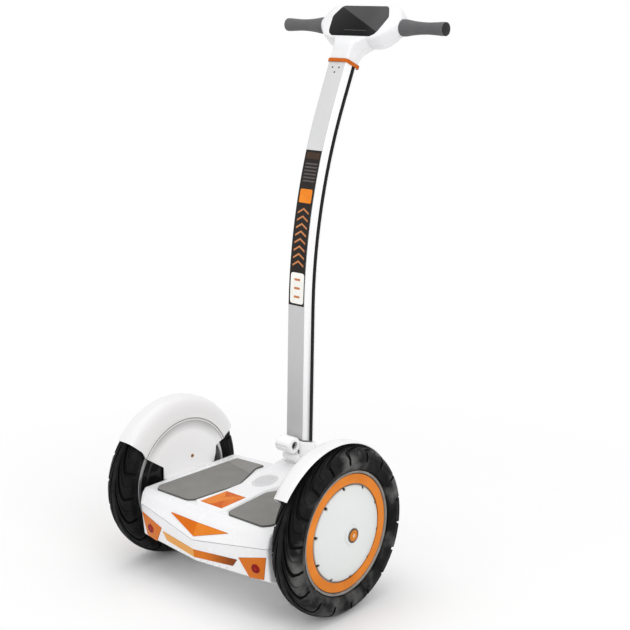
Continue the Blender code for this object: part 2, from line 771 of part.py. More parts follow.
bracket_base = box((-0.0300, 0.0280, 0.1655), (0.0300, 0.1876, 0.1712))
bracket = piece("pivot_bracket", bracket_base, "aluminium", scooter)
for i, (rear, front) in enumerate(PIVOT_LUGS):
    lug_outline = [(-0.0200, 0.0), (0.0200, 0.0)] + arc((0, PIVOT_Z - 0.1700), LUG_HALF, 0, 180, 8)
    lug = tool(
        "lug_%d" % i,
        plate(lug_outline, front - rear),
        scooter,
        (0, front, 0.1700),
        (math.radians(90), 0, 0),
    )
    boolean(bracket, lug, "UNION")
pin_bore = rod(PIN_R + GAP, (0, 0.1, PIVOT_Z), (0, 0.2, PIVOT_Z))
boolean(bracket, tool("pin_bore", pin_bore, scooter))
piece("pivot_pin", rod(PIN_R, (0, 0.1120, PIVOT_Z), (0, 0.1878, PIVOT_Z)), "steel", scooter)

opening = box((-0.0225, KNUCKLE_Y[0] - 0.0015, 0.2050), (0.0225, KNUCKLE_Y[1] + 0.0015, 0.2400))
boolean(top_cover, tool("mast_opening", opening, scooter))
well = box((-0.0290, 0.1213, 0.1700), (0.0290, 0.1882, 0.2262))
boolean(top_cover, tool("mast_well", well, scooter))
spring_well = box((-0.0120, 0.1100, 0.1950), (0.0120, 0.1220, 0.2230))
boolean(top_cover, tool("spring_well", spring_well, scooter))

SPRING_R = 0.0056
SPRING_WIRE = 0.0007
SPRING_TURNS = 5
SPRING_POINTS = 8
SPRING_Y = (0.1135, 0.1215)

spring_curve = bpy.data.curves.new("centring_spring", "CURVE")
spring_curve.dimensions = "3D"
spring_curve.bevel_depth = SPRING_WIRE
spring_curve.bevel_resolution = 1
spring_curve.use_fill_caps = True
coil = spring_curve.splines.new("POLY")
coil_points = SPRING_TURNS * SPRING_POINTS + 1
coil.points.add(coil_points - 1)
for i, point in enumerate(coil.points):
    turn = 2 * math.pi * i / SPRING_POINTS
    y = SPRING_Y[0] + (SPRING_Y[1] - SPRING_Y[0]) * i / (coil_points - 1)
    point.co = (SPRING_R * math.cos(turn), y, PIVOT_Z + SPRING_R * math.sin(turn), 1.0)
spring = bpy.data.objects.new("centring_spring", spring_curve)
spring.parent = scooter
PARTS.objects.link(spring)
finish(spring, "steel")

sensor = box((-0.0100, 0.1450, 0.1718), (0.0100, 0.1650, 0.1800))
piece("lean_sensor", sensor, "black_plastic", scooter)


# Mast side: everything below turns about the pivot

lean = empty("lean_axis", (0, 0, PIVOT_Z), scooter)


def from_pivot(x, y, z):
    return (x, y, z - PIVOT_Z)


def mast_station(distance):
    """The place and lean of the mast's rear face, at a length above its foot."""
    y, z = MAST_FOOT
    straight = (MAST_BEND_Z - z) / math.cos(LOWER_LEAN)
    bend = MAST_BEND_R * (UPPER_LEAN - LOWER_LEAN)
    lower = min(distance, straight)
    y += lower * math.sin(LOWER_LEAN)
    z += lower * math.cos(LOWER_LEAN)
    turned_by = min(max(distance - straight, 0.0), bend) / MAST_BEND_R
    lean_now = LOWER_LEAN + turned_by
    y += MAST_BEND_R * (math.cos(LOWER_LEAN) - math.cos(lean_now))
    z += MAST_BEND_R * (math.sin(lean_now) - math.sin(LOWER_LEAN))
    upper = max(distance - straight - bend, 0.0)
    y += upper * math.sin(UPPER_LEAN)
    z += upper * math.cos(UPPER_LEAN)
    return y, z, lean_now


def mast_matrix(distance):
    """A frame on the mast: X across, Y from its rear face forward, Z along it."""
    y, z, lean_now = mast_station(distance)
    place = Matrix.Translation(from_pivot(0, y, z))
    return place @ Matrix.Rotation(-lean_now, 4, "X")


def mast_length():
    straight = (MAST_BEND_Z - MAST_FOOT[1]) / math.cos(LOWER_LEAN)
    bend = MAST_BEND_R * (UPPER_LEAN - LOWER_LEAN)
    y, z, _ = mast_station(straight + bend)
    return straight + bend + (MAST_TOP_Z - z) / math.cos(UPPER_LEAN)


MAST_LENGTH = mast_length()
MAST_STRAIGHT = (MAST_BEND_Z - MAST_FOOT[1]) / math.cos(LOWER_LEAN)
MAST_BEND = MAST_BEND_R * (UPPER_LEAN - LOWER_LEAN)
MAST_STEPS = 5
MAST_BENDS = [MAST_STRAIGHT + MAST_BEND * i / MAST_STEPS for i in range(MAST_STEPS + 1)]
MAST_CUTS = [0.0, *MAST_BENDS, MAST_LENGTH]


def mast_profile():
    """Rounded box with a groove for the trim in each flank, rear face at y = 0."""
    half = MAST_WIDTH / 2
    rear_r, front_r = 0.0040, 0.0110
    groove_a, groove_b = GROOVE_FROM_REAR, GROOVE_FROM_REAR + GROOVE_WIDTH
    right = arc((half - rear_r, rear_r), rear_r, -90, 0, 1)
    right += [
        (half, groove_a), (half - GROOVE_DEPTH, groove_a),
        (half - GROOVE_DEPTH, groove_b), (half, groove_b),
    ]
    right += arc((half - front_r, MAST_DEPTH - front_r), front_r, 5, 90, 2)
    return right + mirrored(right)


mast_tube = piece(
    "mast_tube",
    sweep(mast_profile(), [mast_matrix(d) for d in MAST_CUTS], closed_ends=False),
    "mast_grey",
    lean,
)
solidify(mast_tube, MAST_WALL)

TRIM_START = 0.0330
for side, sign in (("right", 1), ("left", -1)):
    near = MAST_WIDTH / 2 - GROOVE_DEPTH + GAP
    far = MAST_WIDTH / 2 + 0.0003
    strip = [
        (sign * near, GROOVE_FROM_REAR + GAP),
        (sign * far, GROOVE_FROM_REAR + GAP),
        (sign * far, GROOVE_FROM_REAR + GROOVE_WIDTH - GAP),
        (sign * near, GROOVE_FROM_REAR + GROOVE_WIDTH - GAP),
    ]
    cuts = [TRIM_START, *MAST_BENDS, MAST_LENGTH - 0.0010]
    piece("side_trim_" + side, sweep(strip, [mast_matrix(d) for d in cuts]), "black_plastic", lean)

SOCKET_BASE_Z = 0.2505
SOCKET_TOP_Z = 0.2860
SOCKET_WALL = 0.0032
BARREL_R = 0.0260
BARREL_AT = (0.1120, 0.2745)
BARREL_HALF = 0.0300

socket_half = MAST_WIDTH / 2 + SOCKET_WALL + GAP
socket = piece(
    "mast_socket",
    box(
        from_pivot(-socket_half, MAST_FOOT[0] - SOCKET_WALL - 0.002, SOCKET_BASE_Z - 0.0040),
        from_pivot(socket_half, MAST_FOOT[0] + MAST_DEPTH + SOCKET_WALL + 0.002, SOCKET_TOP_Z),
        0.006,
    ),
    "white_plastic",
    lean,
)
barrel = tool(
    "barrel",
    rod(
        BARREL_R,
        from_pivot(-BARREL_HALF, *BARREL_AT),
        from_pivot(BARREL_HALF, *BARREL_AT),
        18,
    ),
    lean,
)
bevel(barrel, 0.004, 1)
boolean(socket, barrel, "UNION")
shank = box(
    from_pivot(-0.0180, KNUCKLE_Y[0], PIVOT_Z), from_pivot(0.0180, KNUCKLE_Y[1], 0.2600)
)
boolean(socket, tool("shank", shank, lean), "UNION")
knuckle = tool(
    "knuckle",
    rod(KNUCKLE_R, from_pivot(0, KNUCKLE_Y[0], PIVOT_Z), from_pivot(0, KNUCKLE_Y[1], PIVOT_Z), 16),
    lean,
)
boolean(socket, knuckle, "UNION")
knuckle_bore = rod(PIN_R + 0.0004, from_pivot(0, 0.1, PIVOT_Z), from_pivot(0, 0.2, PIVOT_Z))
boolean(socket, tool("knuckle_bore", knuckle_bore, lean))


def rounded_outline(half, near, far, radius, steps=1):
    right = arc((half - radius, near + radius), radius, -90, 0, steps)
    right += arc((half - radius, far - radius), radius, 0, 90, steps)
    return right + mirrored(right)


sleeve_bore = sweep(
    rounded_outline(MAST_WIDTH / 2 + 0.0004, -0.0004, MAST_DEPTH + 0.0004, 0.0040),
    [mast_matrix(-0.0006), mast_matrix(0.0600)],
)
boolean(socket, tool("sleeve_bore", sleeve_bore, lean))
bolt_bore = rod(0.0090, from_pivot(0.0220, *BARREL_AT), from_pivot(0.0400, *BARREL_AT))
boolean(socket, tool("bolt_bore", bolt_bore, lean))
clamp_bolt = piece(
    "clamp_bolt",
    rod(0.0085, from_pivot(0.0223, *BARREL_AT), from_pivot(0.0275, *BARREL_AT)),
    "steel",
    lean,
)
hex_socket = rod(0.0042, from_pivot(0.0240, *BARREL_AT), from_pivot(0.0290, *BARREL_AT), 6)
boolean(clamp_bolt, tool("hex_socket", hex_socket, lean))

collar_outline = rounded_outline(MAST_WIDTH / 2 + 0.0030, -0.0030, MAST_DEPTH + 0.0030, 0.0080)
collar = piece(
    "collar_ring",
    sweep(collar_outline, [mast_matrix(MAST_LENGTH - 0.0036), mast_matrix(MAST_LENGTH + 0.0044)]),
    "orange_plastic",
    lean,
)
collar_bore = sweep(
    rounded_outline(MAST_WIDTH / 2 + 0.0006, -0.0006, MAST_DEPTH + 0.0006, 0.0040),
    [mast_matrix(MAST_LENGTH - 0.0200), mast_matrix(MAST_LENGTH + 0.0003)],
)
boolean(collar, tool("collar_bore", collar_bore, lean))
collar_hole = sweep(
    rounded_outline(0.0160, 0.0080, 0.0360, 0.0040),
    [mast_matrix(MAST_LENGTH - 0.0200), mast_matrix(MAST_LENGTH + 0.0100)],
)
boolean(collar, tool("collar_hole", collar_hole, lean))


# Head: two half casings over the handlebar tube

DISPLAY_TILT = math.radians(48.0)
HEAD_WALL = 0.0030
HEAD_SPLIT = -0.0040

bar = empty("handlebar_axis", from_pivot(0, BAR_Y, BAR_Z), lean)
bar.rotation_euler = (DISPLAY_TILT, 0, 0)


# The head's sections, from the middle to where the grip starts: distance across,
# then in the display's frame its low and high edge, its rear and front face, and
# how far the rear and the front corners are rounded
HEAD_SECTIONS = [
    (0.0560, -0.0500, 0.0450, 0.0232, -0.0268, 0.0070, 0.0180),
    (0.0740, -0.0450, 0.0445, 0.0232, -0.0262, 0.0070, 0.0170),
    (0.0880, -0.0340, 0.0420, 0.0222, -0.0245, 0.0090, 0.0160),
    (0.0990, -0.0240, 0.0330, 0.0205, -0.0215, 0.0130, 0.0170),
    (GRIP_ROOT_X - 0.0010, -0.0182, 0.0182, 0.0182, -0.0182, 0.0182, 0.0182),
]
# The way the mast points at its top, in the display's frame
MAST_UP = (math.cos(math.radians(18.0)), math.sin(math.radians(18.0)))
# The neck's sections from the collar up: rear and front edge as (up, out) places
# in the display's frame, half width, and how far the corners are rounded
NECK_SECTIONS = [
    ((-0.1054, 0.0222), (-0.0918, -0.0198), 0.0258, 0.0070),
    ((-0.0900, 0.0272), (-0.0800, -0.0200), 0.0258, 0.0080),
    ((-0.0740, 0.0325), (-0.0680, -0.0210), 0.0270, 0.0090),
    ((-0.0590, 0.0292), (-0.0560, -0.0220), 0.0360, 0.0090),
    ((-0.0430, 0.0222), (-0.0420, -0.0230), 0.0500, 0.0090),
]


def corner_points(low, high, low_round, high_round, steps):
    """A section with round corners, as (along, across) points.

    Across is out of the display for the head: the corners on its high side take
    high_round and those on its low side low_round.
    """
    trim = 90 / (2 * steps + 2)
    found = []
    for start, along, across, radius in (
        (0, 1, 1, high_round), (90, -1, 1, high_round),
        (180, -1, -1, low_round), (270, 1, -1, low_round),
    ):
        centre = (
            (high[0] if along > 0 else low[0]) - along * radius,
            (high[1] if across > 0 else low[1]) - across * radius,
        )
        found += arc(centre, radius, start + trim, start + 90 - trim, steps)
    return found


def head_solid(inset, steps):
    """The head without its neck, in the display's frame, drawn in by the inset."""
    rings = []
    for x, low, high, rear, front, rear_round, front_round in HEAD_SECTIONS:
        section = corner_points(
            (low + inset, front + inset),
            (high - inset, rear - inset),
            max(front_round - inset, 0.002),
            max(rear_round - inset, 0.002),
            steps,
        )
        reach = min(x, HEAD_SECTIONS[-1][0] - inset)
        rings.append([(reach, up, out) for up, out in section])
    left = [[(-x, up, out) for x, up, out in ring] for ring in rings[::-1]]
    return loft(left + rings)


def neck_solid(inset, steps):
    """The neck between the collar and the head, drawn in by the inset."""
    rings = []
    for rear, front, half, radius in NECK_SECTIONS:
        rear, front = Vector(rear), Vector(front)
        depth = (front - rear).length
        forward = (front - rear) / depth
        section = corner_points(
            (inset, inset - half), (depth - inset, half - inset), radius - inset, radius - inset, steps
        )
        places = [(across, rear + forward * along) for along, across in section]
        rings.append([(across, place.x, place.y) for across, place in places])
    if inset:
        lift = Vector((0, *MAST_UP)) * inset
        rings[0] = [tuple(Vector(point) + lift) for point in rings[0]]
        rings[-1] = [(x, up + inset, out) for x, up, out in rings[-1]]
    return loft(rings)


DISPLAY_RIGHT = [
    (0.0530, -0.0445), (0.0625, -0.0385), (0.0675, -0.0300), (0.0775, 0.0070), (0.0770, 0.0110),
    (0.0665, 0.0330), (0.0600, 0.0385),
]
DISPLAY_OUTLINE = DISPLAY_RIGHT + mirrored(DISPLAY_RIGHT)
DISPLAY_OUT = 0.0238
DISPLAY_THICK = 0.0018


neck = tool("head_neck", neck_solid(0.0, 2), bar)
head_hollow = tool("head_hollow", head_solid(HEAD_WALL, 1), bar)
neck_hollow = tool("neck_hollow", neck_solid(HEAD_WALL, 1), bar)
bar_bore = tool("bar_bore", rod(BAR_R + 0.0004, (-0.2, 0, 0), (0.2, 0, 0)), bar)
stem_hole = tool(
    "stem_hole",
    sweep(
        rounded_outline(0.0160, 0.0080, 0.0360, 0.0040),
        [mast_matrix(MAST_LENGTH - 0.0020), mast_matrix(MAST_LENGTH + 0.0140)],
    ),
    lean,
)


def head_half(name, low_out, high_out):
    """One of the two casings that meet in the plane of the handlebar tube."""
    shell = piece(name, head_solid(0.0, 2), "white_plastic", bar)
    boolean(shell, neck, "UNION")
    boolean(shell, head_hollow)
    boolean(shell, neck_hollow)
    boolean(shell, bar_bore)
    boolean(shell, stem_hole)
    half = tool(name + "_half", box((-0.2, -0.3, low_out), (0.2, 0.2, high_out)), bar)
    boolean(shell, half, "INTERSECT")
    return shell


head_rear = head_half("head_rear", HEAD_SPLIT + GAP / 2, 0.2)
head_front = head_half("head_front", -0.2, HEAD_SPLIT - GAP / 2)
display_pocket = tool(
    "display_pocket",
    plate(offset_outline(DISPLAY_OUTLINE, 0.0004), 0.02),
    bar,
    (0, 0, DISPLAY_OUT - DISPLAY_THICK - GAP),
)
boolean(head_rear, display_pocket)
display_place = (0, 0, DISPLAY_OUT - DISPLAY_THICK)
piece("display_glass", plate(DISPLAY_OUTLINE, DISPLAY_THICK), "display_glass", bar, display_place)
circuit = box((-0.0500, -0.0330, 0.0150), (0.0500, 0.0220, 0.0166))
piece("display_board", circuit, "board_green", bar)

stem = piece(
    "stem_insert",
    sweep(
        rounded_outline(MAST_WIDTH / 2 - MAST_WALL - 0.0030, 0.0036, MAST_DEPTH - 0.0036, 0.0040),
        [mast_matrix(MAST_LENGTH - 0.0450), mast_matrix(MAST_LENGTH - 0.0010)],
    ),
    "aluminium",
    lean,
)
stem_upper = sweep(
    rounded_outline(0.0150, 0.0120, 0.0350, 0.0040),
    [mast_matrix(MAST_LENGTH - 0.0100), mast_matrix(MAST_LENGTH + 0.0420)],
)
boolean(stem, tool("stem_upper", stem_upper, lean), "UNION")
clamp_arm = box((-0.0140, -0.0720, -0.0040), (0.0140, -0.0060, 0.0115))
boolean(stem, tool("clamp_arm", clamp_arm, bar), "UNION")
clamp_eye = rod(0.0128, (-0.0170, 0, 0), (0.0170, 0, 0))
boolean(stem, tool("clamp_eye", clamp_eye, bar), "UNION")
clamp_bore = tool("clamp_bore", rod(BAR_R + 0.0003, (-0.03, 0, 0), (0.03, 0, 0)), bar)
boolean(stem, clamp_bore)

CABLE_R = 0.0028
cable_bore = sweep(
    arc((0, MAST_DEPTH / 2), CABLE_R + 0.0012, 0, 360, 8)[:-1],
    [mast_matrix(MAST_LENGTH - 0.0600), mast_matrix(MAST_LENGTH + 0.0500)],
)
boolean(stem, tool("cable_bore", cable_bore, lean))
cable_cuts = [0.0040, *MAST_BENDS, MAST_LENGTH - 0.0500, MAST_LENGTH + 0.0340]
piece(
    "mast_cable",
    sweep(arc((0, MAST_DEPTH / 2), CABLE_R, 0, 360, 8)[:-1], [mast_matrix(d) for d in cable_cuts]),
    "dark_rubber",
    lean,
)

SIDEWAYS = {"right": (0, math.radians(90), 0), "left": (0, math.radians(-90), 0)}
bar_place = from_pivot(0, BAR_Y, BAR_Z)
tube_half = GRIP_END_X - 0.0060
bore_r = BAR_R - 0.0020
tube_profile = [
    (BAR_R, -tube_half), (BAR_R, tube_half), (bore_r, tube_half), (bore_r, -tube_half),
]
turned(
    "handlebar_tube", tube_profile, "aluminium", lean, HUB_STEPS, bar_place, SIDEWAYS["right"]
)

GRIP_PROFILE = [
    (0.0183, GRIP_ROOT_X + GAP), (0.0180, 0.1190), (0.0158, 0.1340), (0.0136, 0.1550),
    (0.0128, 0.1780), (0.0145, 0.2120), (0.0146, 0.2205), (0.0106, 0.2205),
    (0.0106, GRIP_ROOT_X + GAP),
]
CAP_PROFILE = [
    (0.0, 0.2182), (0.0074, 0.2182), (0.0074, 0.2208), (0.0145, 0.2208), (0.0138, 0.2240), (0.0, 0.2240),
]
for side in ("right", "left"):
    for name, profile, kind in (
        ("grip_", GRIP_PROFILE, "grey_grip"), ("grip_cap_", CAP_PROFILE, "dark_rubber"),
    ):
        turned(name + side, profile, kind, lean, HUB_STEPS, bar_place, SIDEWAYS[side])


# Wheels: hub motors with a pneumatic tyre

TYRE_HALF = [
    (WHEEL_R, 0.0), (0.1790, 0.0120), (0.1762, 0.0230), (0.1690, 0.0325),
    (0.1520, 0.0358), (0.1352, 0.0280), (0.1332, 0.0225),
]
TYRE_INNER = [(0.1620, 0.0)]
TREAD_EDGE = 0.0330
GROOVE_PLACES = (0.0, 0.66, 0.83)
GROOVE_SWEEP = math.radians(10.0)


def tyre_mesh():
    """A tyre with swept grooves: each pitch is a block and a V-shaped groove.

    The section is spun in three steps a pitch, then each point is moved round
    to its place in the pitch, swept back towards the shoulder, and the groove's
    bottom is drawn in. A column of the crown stays at the very bottom.
    """
    section = TYRE_HALF + TYRE_INNER
    section += [(r, -s) for r, s in TYRE_INNER[-2::-1]] + [(r, -s) for r, s in TYRE_HALF[:0:-1]]
    count = TREAD_PITCHES * len(GROOVE_PLACES)
    bm = bmesh.new()
    loop = [bm.verts.new((r, 0, s)) for r, s in section]
    edges = [bm.edges.new(pair) for pair in zip(loop, loop[1:] + loop[:1])]
    bmesh.ops.spin(
        bm,
        geom=loop + edges,
        cent=(0, 0, 0),
        axis=(0, 0, 1),
        angle=2 * math.pi,
        steps=count,
        use_merge=True,
    )
    pitch = 2 * math.pi / TREAD_PITCHES
    for vert in bm.verts:
        radius = math.hypot(vert.co.x, vert.co.y)
        s = vert.co.z
        index = round(math.atan2(vert.co.y, vert.co.x) / (2 * math.pi / count)) % count
        block, phase = divmod(index, len(GROOVE_PLACES))
        angle = pitch * (block + GROOVE_PLACES[phase])
        outer = radius > 0.1665 or (abs(s) > 0.034 and radius > 0.15)
        if outer and abs(s) > 0.001:
            reach = min(abs(s) / TREAD_EDGE, 1.0)
            angle += GROOVE_SWEEP * reach ** 1.3
            if phase == 2 and abs(s) <= TREAD_EDGE:
                radius -= TREAD_DEPTH * min(1.0, reach * 1.5)
        vert.co = (radius * math.cos(angle), radius * math.sin(angle), s)
    bmesh.ops.recalc_face_normals(bm, faces=bm.faces)
    return mesh_from(bm, "tyre", smooth=True)


RIM_PROFILE = [
    (0.1318, 0.0250), (0.1318, 0.0225), (0.1200, 0.0150), (0.1200, -0.0170), (0.1318, -0.0262),
    (0.1318, -0.0290), (0.1262, -0.0290), (0.1205, -0.0235), (0.1000, -0.0235), (0.1000, 0.0195),
    (0.1246, 0.0195), (0.1272, 0.0250),
]
RING_PROFILE = [(0.1242, 0.0198), (0.1250, 0.0222), (0.1074, 0.0222), (0.1074, 0.0198)]
COVER_PROFILE = [
    (0.1040, 0.0198), (0.1035, 0.0240), (0.0800, 0.0312), (0.0220, 0.0370), (0.0208, 0.0398),
    (0.0086, 0.0398), (0.0086, 0.0240), (0.0180, 0.0240), (0.0240, 0.0330), (0.0985, 0.0198),
]
MOTOR_COVER_PROFILE = [
    (0.1190, -0.0238), (0.1185, -0.0265), (0.0850, -0.0325), (0.0200, -0.0362), (0.0086, -0.0362),
    (0.0086, -0.0240), (0.0180, -0.0240), (0.0240, -0.0330), (0.0980, -0.0238),
]
CAP_TURN = [(0.0, 0.0401), (0.0132, 0.0401), (0.0132, 0.0420), (0.0, 0.0436)]
STATOR_PROFILE = [
    (0.0980, 0.0120), (0.0980, -0.0150), (0.0700, -0.0150), (0.0084, -0.0080),
    (0.0084, 0.0080), (0.0700, 0.0120),
]
AXLE_PROFILE = [
    (0.0, 0.0340), (AXLE_R, 0.0340), (AXLE_R, -0.0700), (0.0130, -0.0703),
    (0.0130, -0.0760), (0.0, -0.0760),
]
VALVE_ANGLE = math.radians(200)
VALVE_AT_R = 0.1225
VALVE_R = 0.0035

HERE = (0, 0, 0)

for side, sign in (("right", 1), ("left", -1)):
    hub = (sign * WHEEL_X, 0, WHEEL_R)
    wheel = empty("wheel_axis_" + side, hub, scooter)
    out = SIDEWAYS[side]
    piece("tyre_" + side, tyre_mesh(), "dark_rubber", wheel, HERE, out)
    rim = turned("rim_" + side, RIM_PROFILE, "aluminium", wheel, RIM_STEPS, HERE, out)
    place = (VALVE_AT_R * math.cos(VALVE_ANGLE), VALVE_AT_R * math.sin(VALVE_ANGLE))
    valve = rod(VALVE_R, (-sign * 0.0325, *place), (-sign * 0.0200, *place), 8)
    boolean(rim, tool("valve_" + side, valve, wheel), "UNION")
    for name, profile, kind, steps in (
        ("rim_ring_", RING_PROFILE, "orange_plastic", RIM_STEPS),
        ("wheel_cover_", COVER_PROFILE, "white_plastic", RIM_STEPS),
        ("motor_cover_", MOTOR_COVER_PROFILE, "black_plastic", RIM_STEPS),
        ("hub_cap_", CAP_TURN, "orange_plastic", HUB_STEPS),
    ):
        turned(name + side, profile, kind, wheel, steps, HERE, out)
    turned("stator_" + side, STATOR_PROFILE, "copper", scooter, HUB_STEPS, hub, out)
    turned("axle_" + side, AXLE_PROFILE, "steel", scooter, HUB_STEPS, hub, out)


# Charging socket in the front wall, and its cap

SOCKET_X, SOCKET_Z = 0.1000, 0.1300
BOSS_FACE_Y = 0.1765
POCKET_FLOOR_Y = 0.1725
CAP_HINGE = (SOCKET_X, 0.1790, 0.1482)
CAP_THICK = 0.0024
TONGUE_HALF = 0.0050


def along_y(radius, near, far, steps=HUB_STEPS):
    return rod(radius, (SOCKET_X, near, SOCKET_Z), (SOCKET_X, far, SOCKET_Z), steps)


boolean(lower_shell, tool("boss", along_y(0.0200, 0.1600, BOSS_FACE_Y), scooter), "UNION")
boolean(lower_shell, tool("cap_pocket", along_y(0.0162, POCKET_FLOOR_Y, 0.2), scooter))
boolean(lower_shell, tool("socket_hole", along_y(0.0092, 0.15, 0.2), scooter))
hinge_notch = box((SOCKET_X - 0.0062, POCKET_FLOOR_Y, 0.1400), (SOCKET_X + 0.0062, 0.2, 0.1515))
boolean(lower_shell, tool("hinge_notch", hinge_notch, scooter))
socket_body = piece("charge_socket", along_y(0.0088, 0.1500, 0.1722), "black_plastic", scooter)
boolean(socket_body, tool("socket_bore", along_y(0.0062, 0.1600, 0.2), scooter))

cap_hinge = empty("cap_hinge", CAP_HINGE, scooter)
drop = SOCKET_Z - CAP_HINGE[2]
cap_near = POCKET_FLOOR_Y + GAP - CAP_HINGE[1]
lid = rod(0.0156, (0, cap_near, drop), (0, cap_near + CAP_THICK, drop))
cap = piece("charge_cap", lid, "dark_rubber", cap_hinge)
tongue = box((-TONGUE_HALF, cap_near, -0.0080), (TONGUE_HALF, 0.0, 0.0))
boolean(cap, tool("cap_tongue", tongue, cap_hinge), "UNION")
cap_barrel = rod(0.0022, (-TONGUE_HALF, 0, 0), (TONGUE_HALF, 0, 0), 8)
boolean(cap, tool("cap_barrel", cap_barrel, cap_hinge), "UNION")
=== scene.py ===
# %% [markdown]
# # A self-balancing scooter, dressed for its portrait
#
# The scooter stands on two wheels, with a deck between them, a curved mast and a small
# head with a display. The machine's solids are already made and packed. Here each of
# them gets the finer shape and the finish that the eye sees, built in the same frame:
# metres, +Z up, +Y the way it drives and +X the rider's right.

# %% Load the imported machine
import math

import bmesh
import bpy
from mathutils import Matrix, Vector


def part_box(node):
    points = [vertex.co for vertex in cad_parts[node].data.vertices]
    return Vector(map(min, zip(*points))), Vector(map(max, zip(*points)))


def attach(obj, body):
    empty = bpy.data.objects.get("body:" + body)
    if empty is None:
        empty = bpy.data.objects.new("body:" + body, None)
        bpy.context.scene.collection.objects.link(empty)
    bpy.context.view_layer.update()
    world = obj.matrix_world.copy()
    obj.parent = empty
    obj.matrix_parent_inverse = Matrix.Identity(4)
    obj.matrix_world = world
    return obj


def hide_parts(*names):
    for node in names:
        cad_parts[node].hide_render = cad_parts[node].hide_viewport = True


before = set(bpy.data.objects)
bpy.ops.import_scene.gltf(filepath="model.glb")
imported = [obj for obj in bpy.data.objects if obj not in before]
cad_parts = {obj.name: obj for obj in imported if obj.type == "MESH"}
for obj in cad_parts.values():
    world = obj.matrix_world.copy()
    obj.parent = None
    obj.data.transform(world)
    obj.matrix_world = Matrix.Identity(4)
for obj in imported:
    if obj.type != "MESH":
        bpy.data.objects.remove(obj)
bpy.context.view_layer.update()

# %% [markdown]
# ## Where things are
#
# The machine was drawn from its wheel axles, so its measures along Y start there. One
# matrix moves a piece from that drawing to the frame, where the origin is under the
# middle of the machine. The solids say where the axles are: halfway along a tyre.

# %% The drawing's origin
tyre_low, tyre_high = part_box("tyre_right")
AXLE_Y = (tyre_low.y + tyre_high.y) / 2
WHEEL_R = (tyre_high.z - tyre_low.z) / 2
WHEEL_X = (tyre_low.x + tyre_high.x) / 2
SIDES = (("right", 1), ("left", -1))


def shift(x, y, z):
    return Matrix.Translation((x, y, z))


DRAWING = shift(0, AXLE_Y, 0)
print("axles at y", round(AXLE_Y, 4), "wheel radius", round(WHEEL_R, 4))

# %% [markdown]
# ## Camera
#
# The portrait is taken from behind and to the right, a little above the head. The place,
# the aim and the narrow angle of view were worked out from the outlines of the tyres,
# the deck and the mast, so that the render lies over the photograph.

# %% Camera
ANGLE_OF_VIEW = math.radians(26.69)
LOOK_DOWN, LOOK_ASIDE = 0.2472, 0.7137
camera_data = bpy.data.cameras.new("portrait_camera")
camera_data.sensor_width = 36.0
camera_data.angle = ANGLE_OF_VIEW
camera_data.clip_end = 200.0
camera = bpy.data.objects.new("portrait_camera", camera_data)
camera.location = (1.8714, -1.9492 + AXLE_Y, 1.2767)
camera.rotation_euler = (math.pi / 2 - LOOK_DOWN, 0.0, LOOK_ASIDE)
bpy.context.scene.collection.objects.link(camera)
bpy.context.scene.camera = camera
print("lens", round(camera_data.lens, 1), "mm")

# %% [markdown]
# ## Studio
#
# The machine stands on a plain pale floor in front of nothing, as in a catalogue. The
# world is white where the camera, a reflection or a lens looks at it, and softer where
# it lights the machine. Three large lamps add a gentle direction: the widest hangs
# overhead, so that faces which look up are a little brighter than upright ones.

# %% World
AMBIENT = 0.72


def looked_at(tree):
    """1 where the camera, a reflection or a lens looks, and 0 for light on its way."""
    ray = tree.nodes.new("ShaderNodeLightPath")
    seen = ray.outputs["Is Camera Ray"]
    for kind in ("Is Glossy Ray", "Is Transmission Ray"):
        either = tree.nodes.new("ShaderNodeMath")
        either.operation = "MAXIMUM"
        tree.links.new(seen, either.inputs[0])
        tree.links.new(ray.outputs[kind], either.inputs[1])
        seen = either.outputs[0]
    return seen


world = bpy.data.worlds.new("studio")
bpy.context.scene.world = world
world.use_nodes = True
studio = world.node_tree
strength = studio.nodes.new("ShaderNodeMapRange")
strength.inputs["To Min"].default_value = AMBIENT
studio.links.new(looked_at(studio), strength.inputs["Value"])
sky = studio.nodes["Background"]
sky.inputs["Color"].default_value = (1.0, 1.0, 1.0, 1.0)
studio.links.new(strength.outputs["Result"], sky.inputs["Strength"])
bpy.context.scene.view_settings.view_transform = "Standard"
print("ambient light", AMBIENT)

# %% Lamps
LAMPS = {
    "overhead": ((0.0, -0.3, 3.6), (0.0, 0.0, 0.4), 3.0, 31.0),
    "rear_left": ((-2.6, -2.6, 1.4), (0.0, 0.0, 0.4), 2.0, 12.0),
    "right": ((3.2, -1.2, 2.3), (-0.1, 0.0, 0.3), 2.2, 40.0),
}
for name, (place, aim, size, watts) in LAMPS.items():
    data = bpy.data.lights.new(name, "AREA")
    data.size = size
    data.energy = watts
    lamp = bpy.data.objects.new(name, data)
    lamp.location = place
    lamp.rotation_euler = (Vector(aim) - Vector(place)).to_track_quat("-Z", "Y").to_euler()
    bpy.context.scene.collection.objects.link(lamp)
print("lamps:", *LAMPS)

# %% [markdown]
# ## Finishes
#
# Colours are written as they look on a screen, from 0 to 255, and turned into the
# linear values that a shader takes. No real surface is one flat colour, so each finish
# gets three layers of noise: a slow drift between two close shades, an uneven gloss and
# a fine relief. Noise reads the piece's own coordinates, so it moves with the piece.

# %% Colour helper


def paint(*screen):
    """A screen colour, 0 to 255, as the linear colour of a shader."""
    shares = [value / 255 for value in screen]
    return (*(s / 12.92 if s <= 0.04045 else ((s + 0.055) / 1.055) ** 2.4 for s in shares), 1.0)


# %% Finish helpers


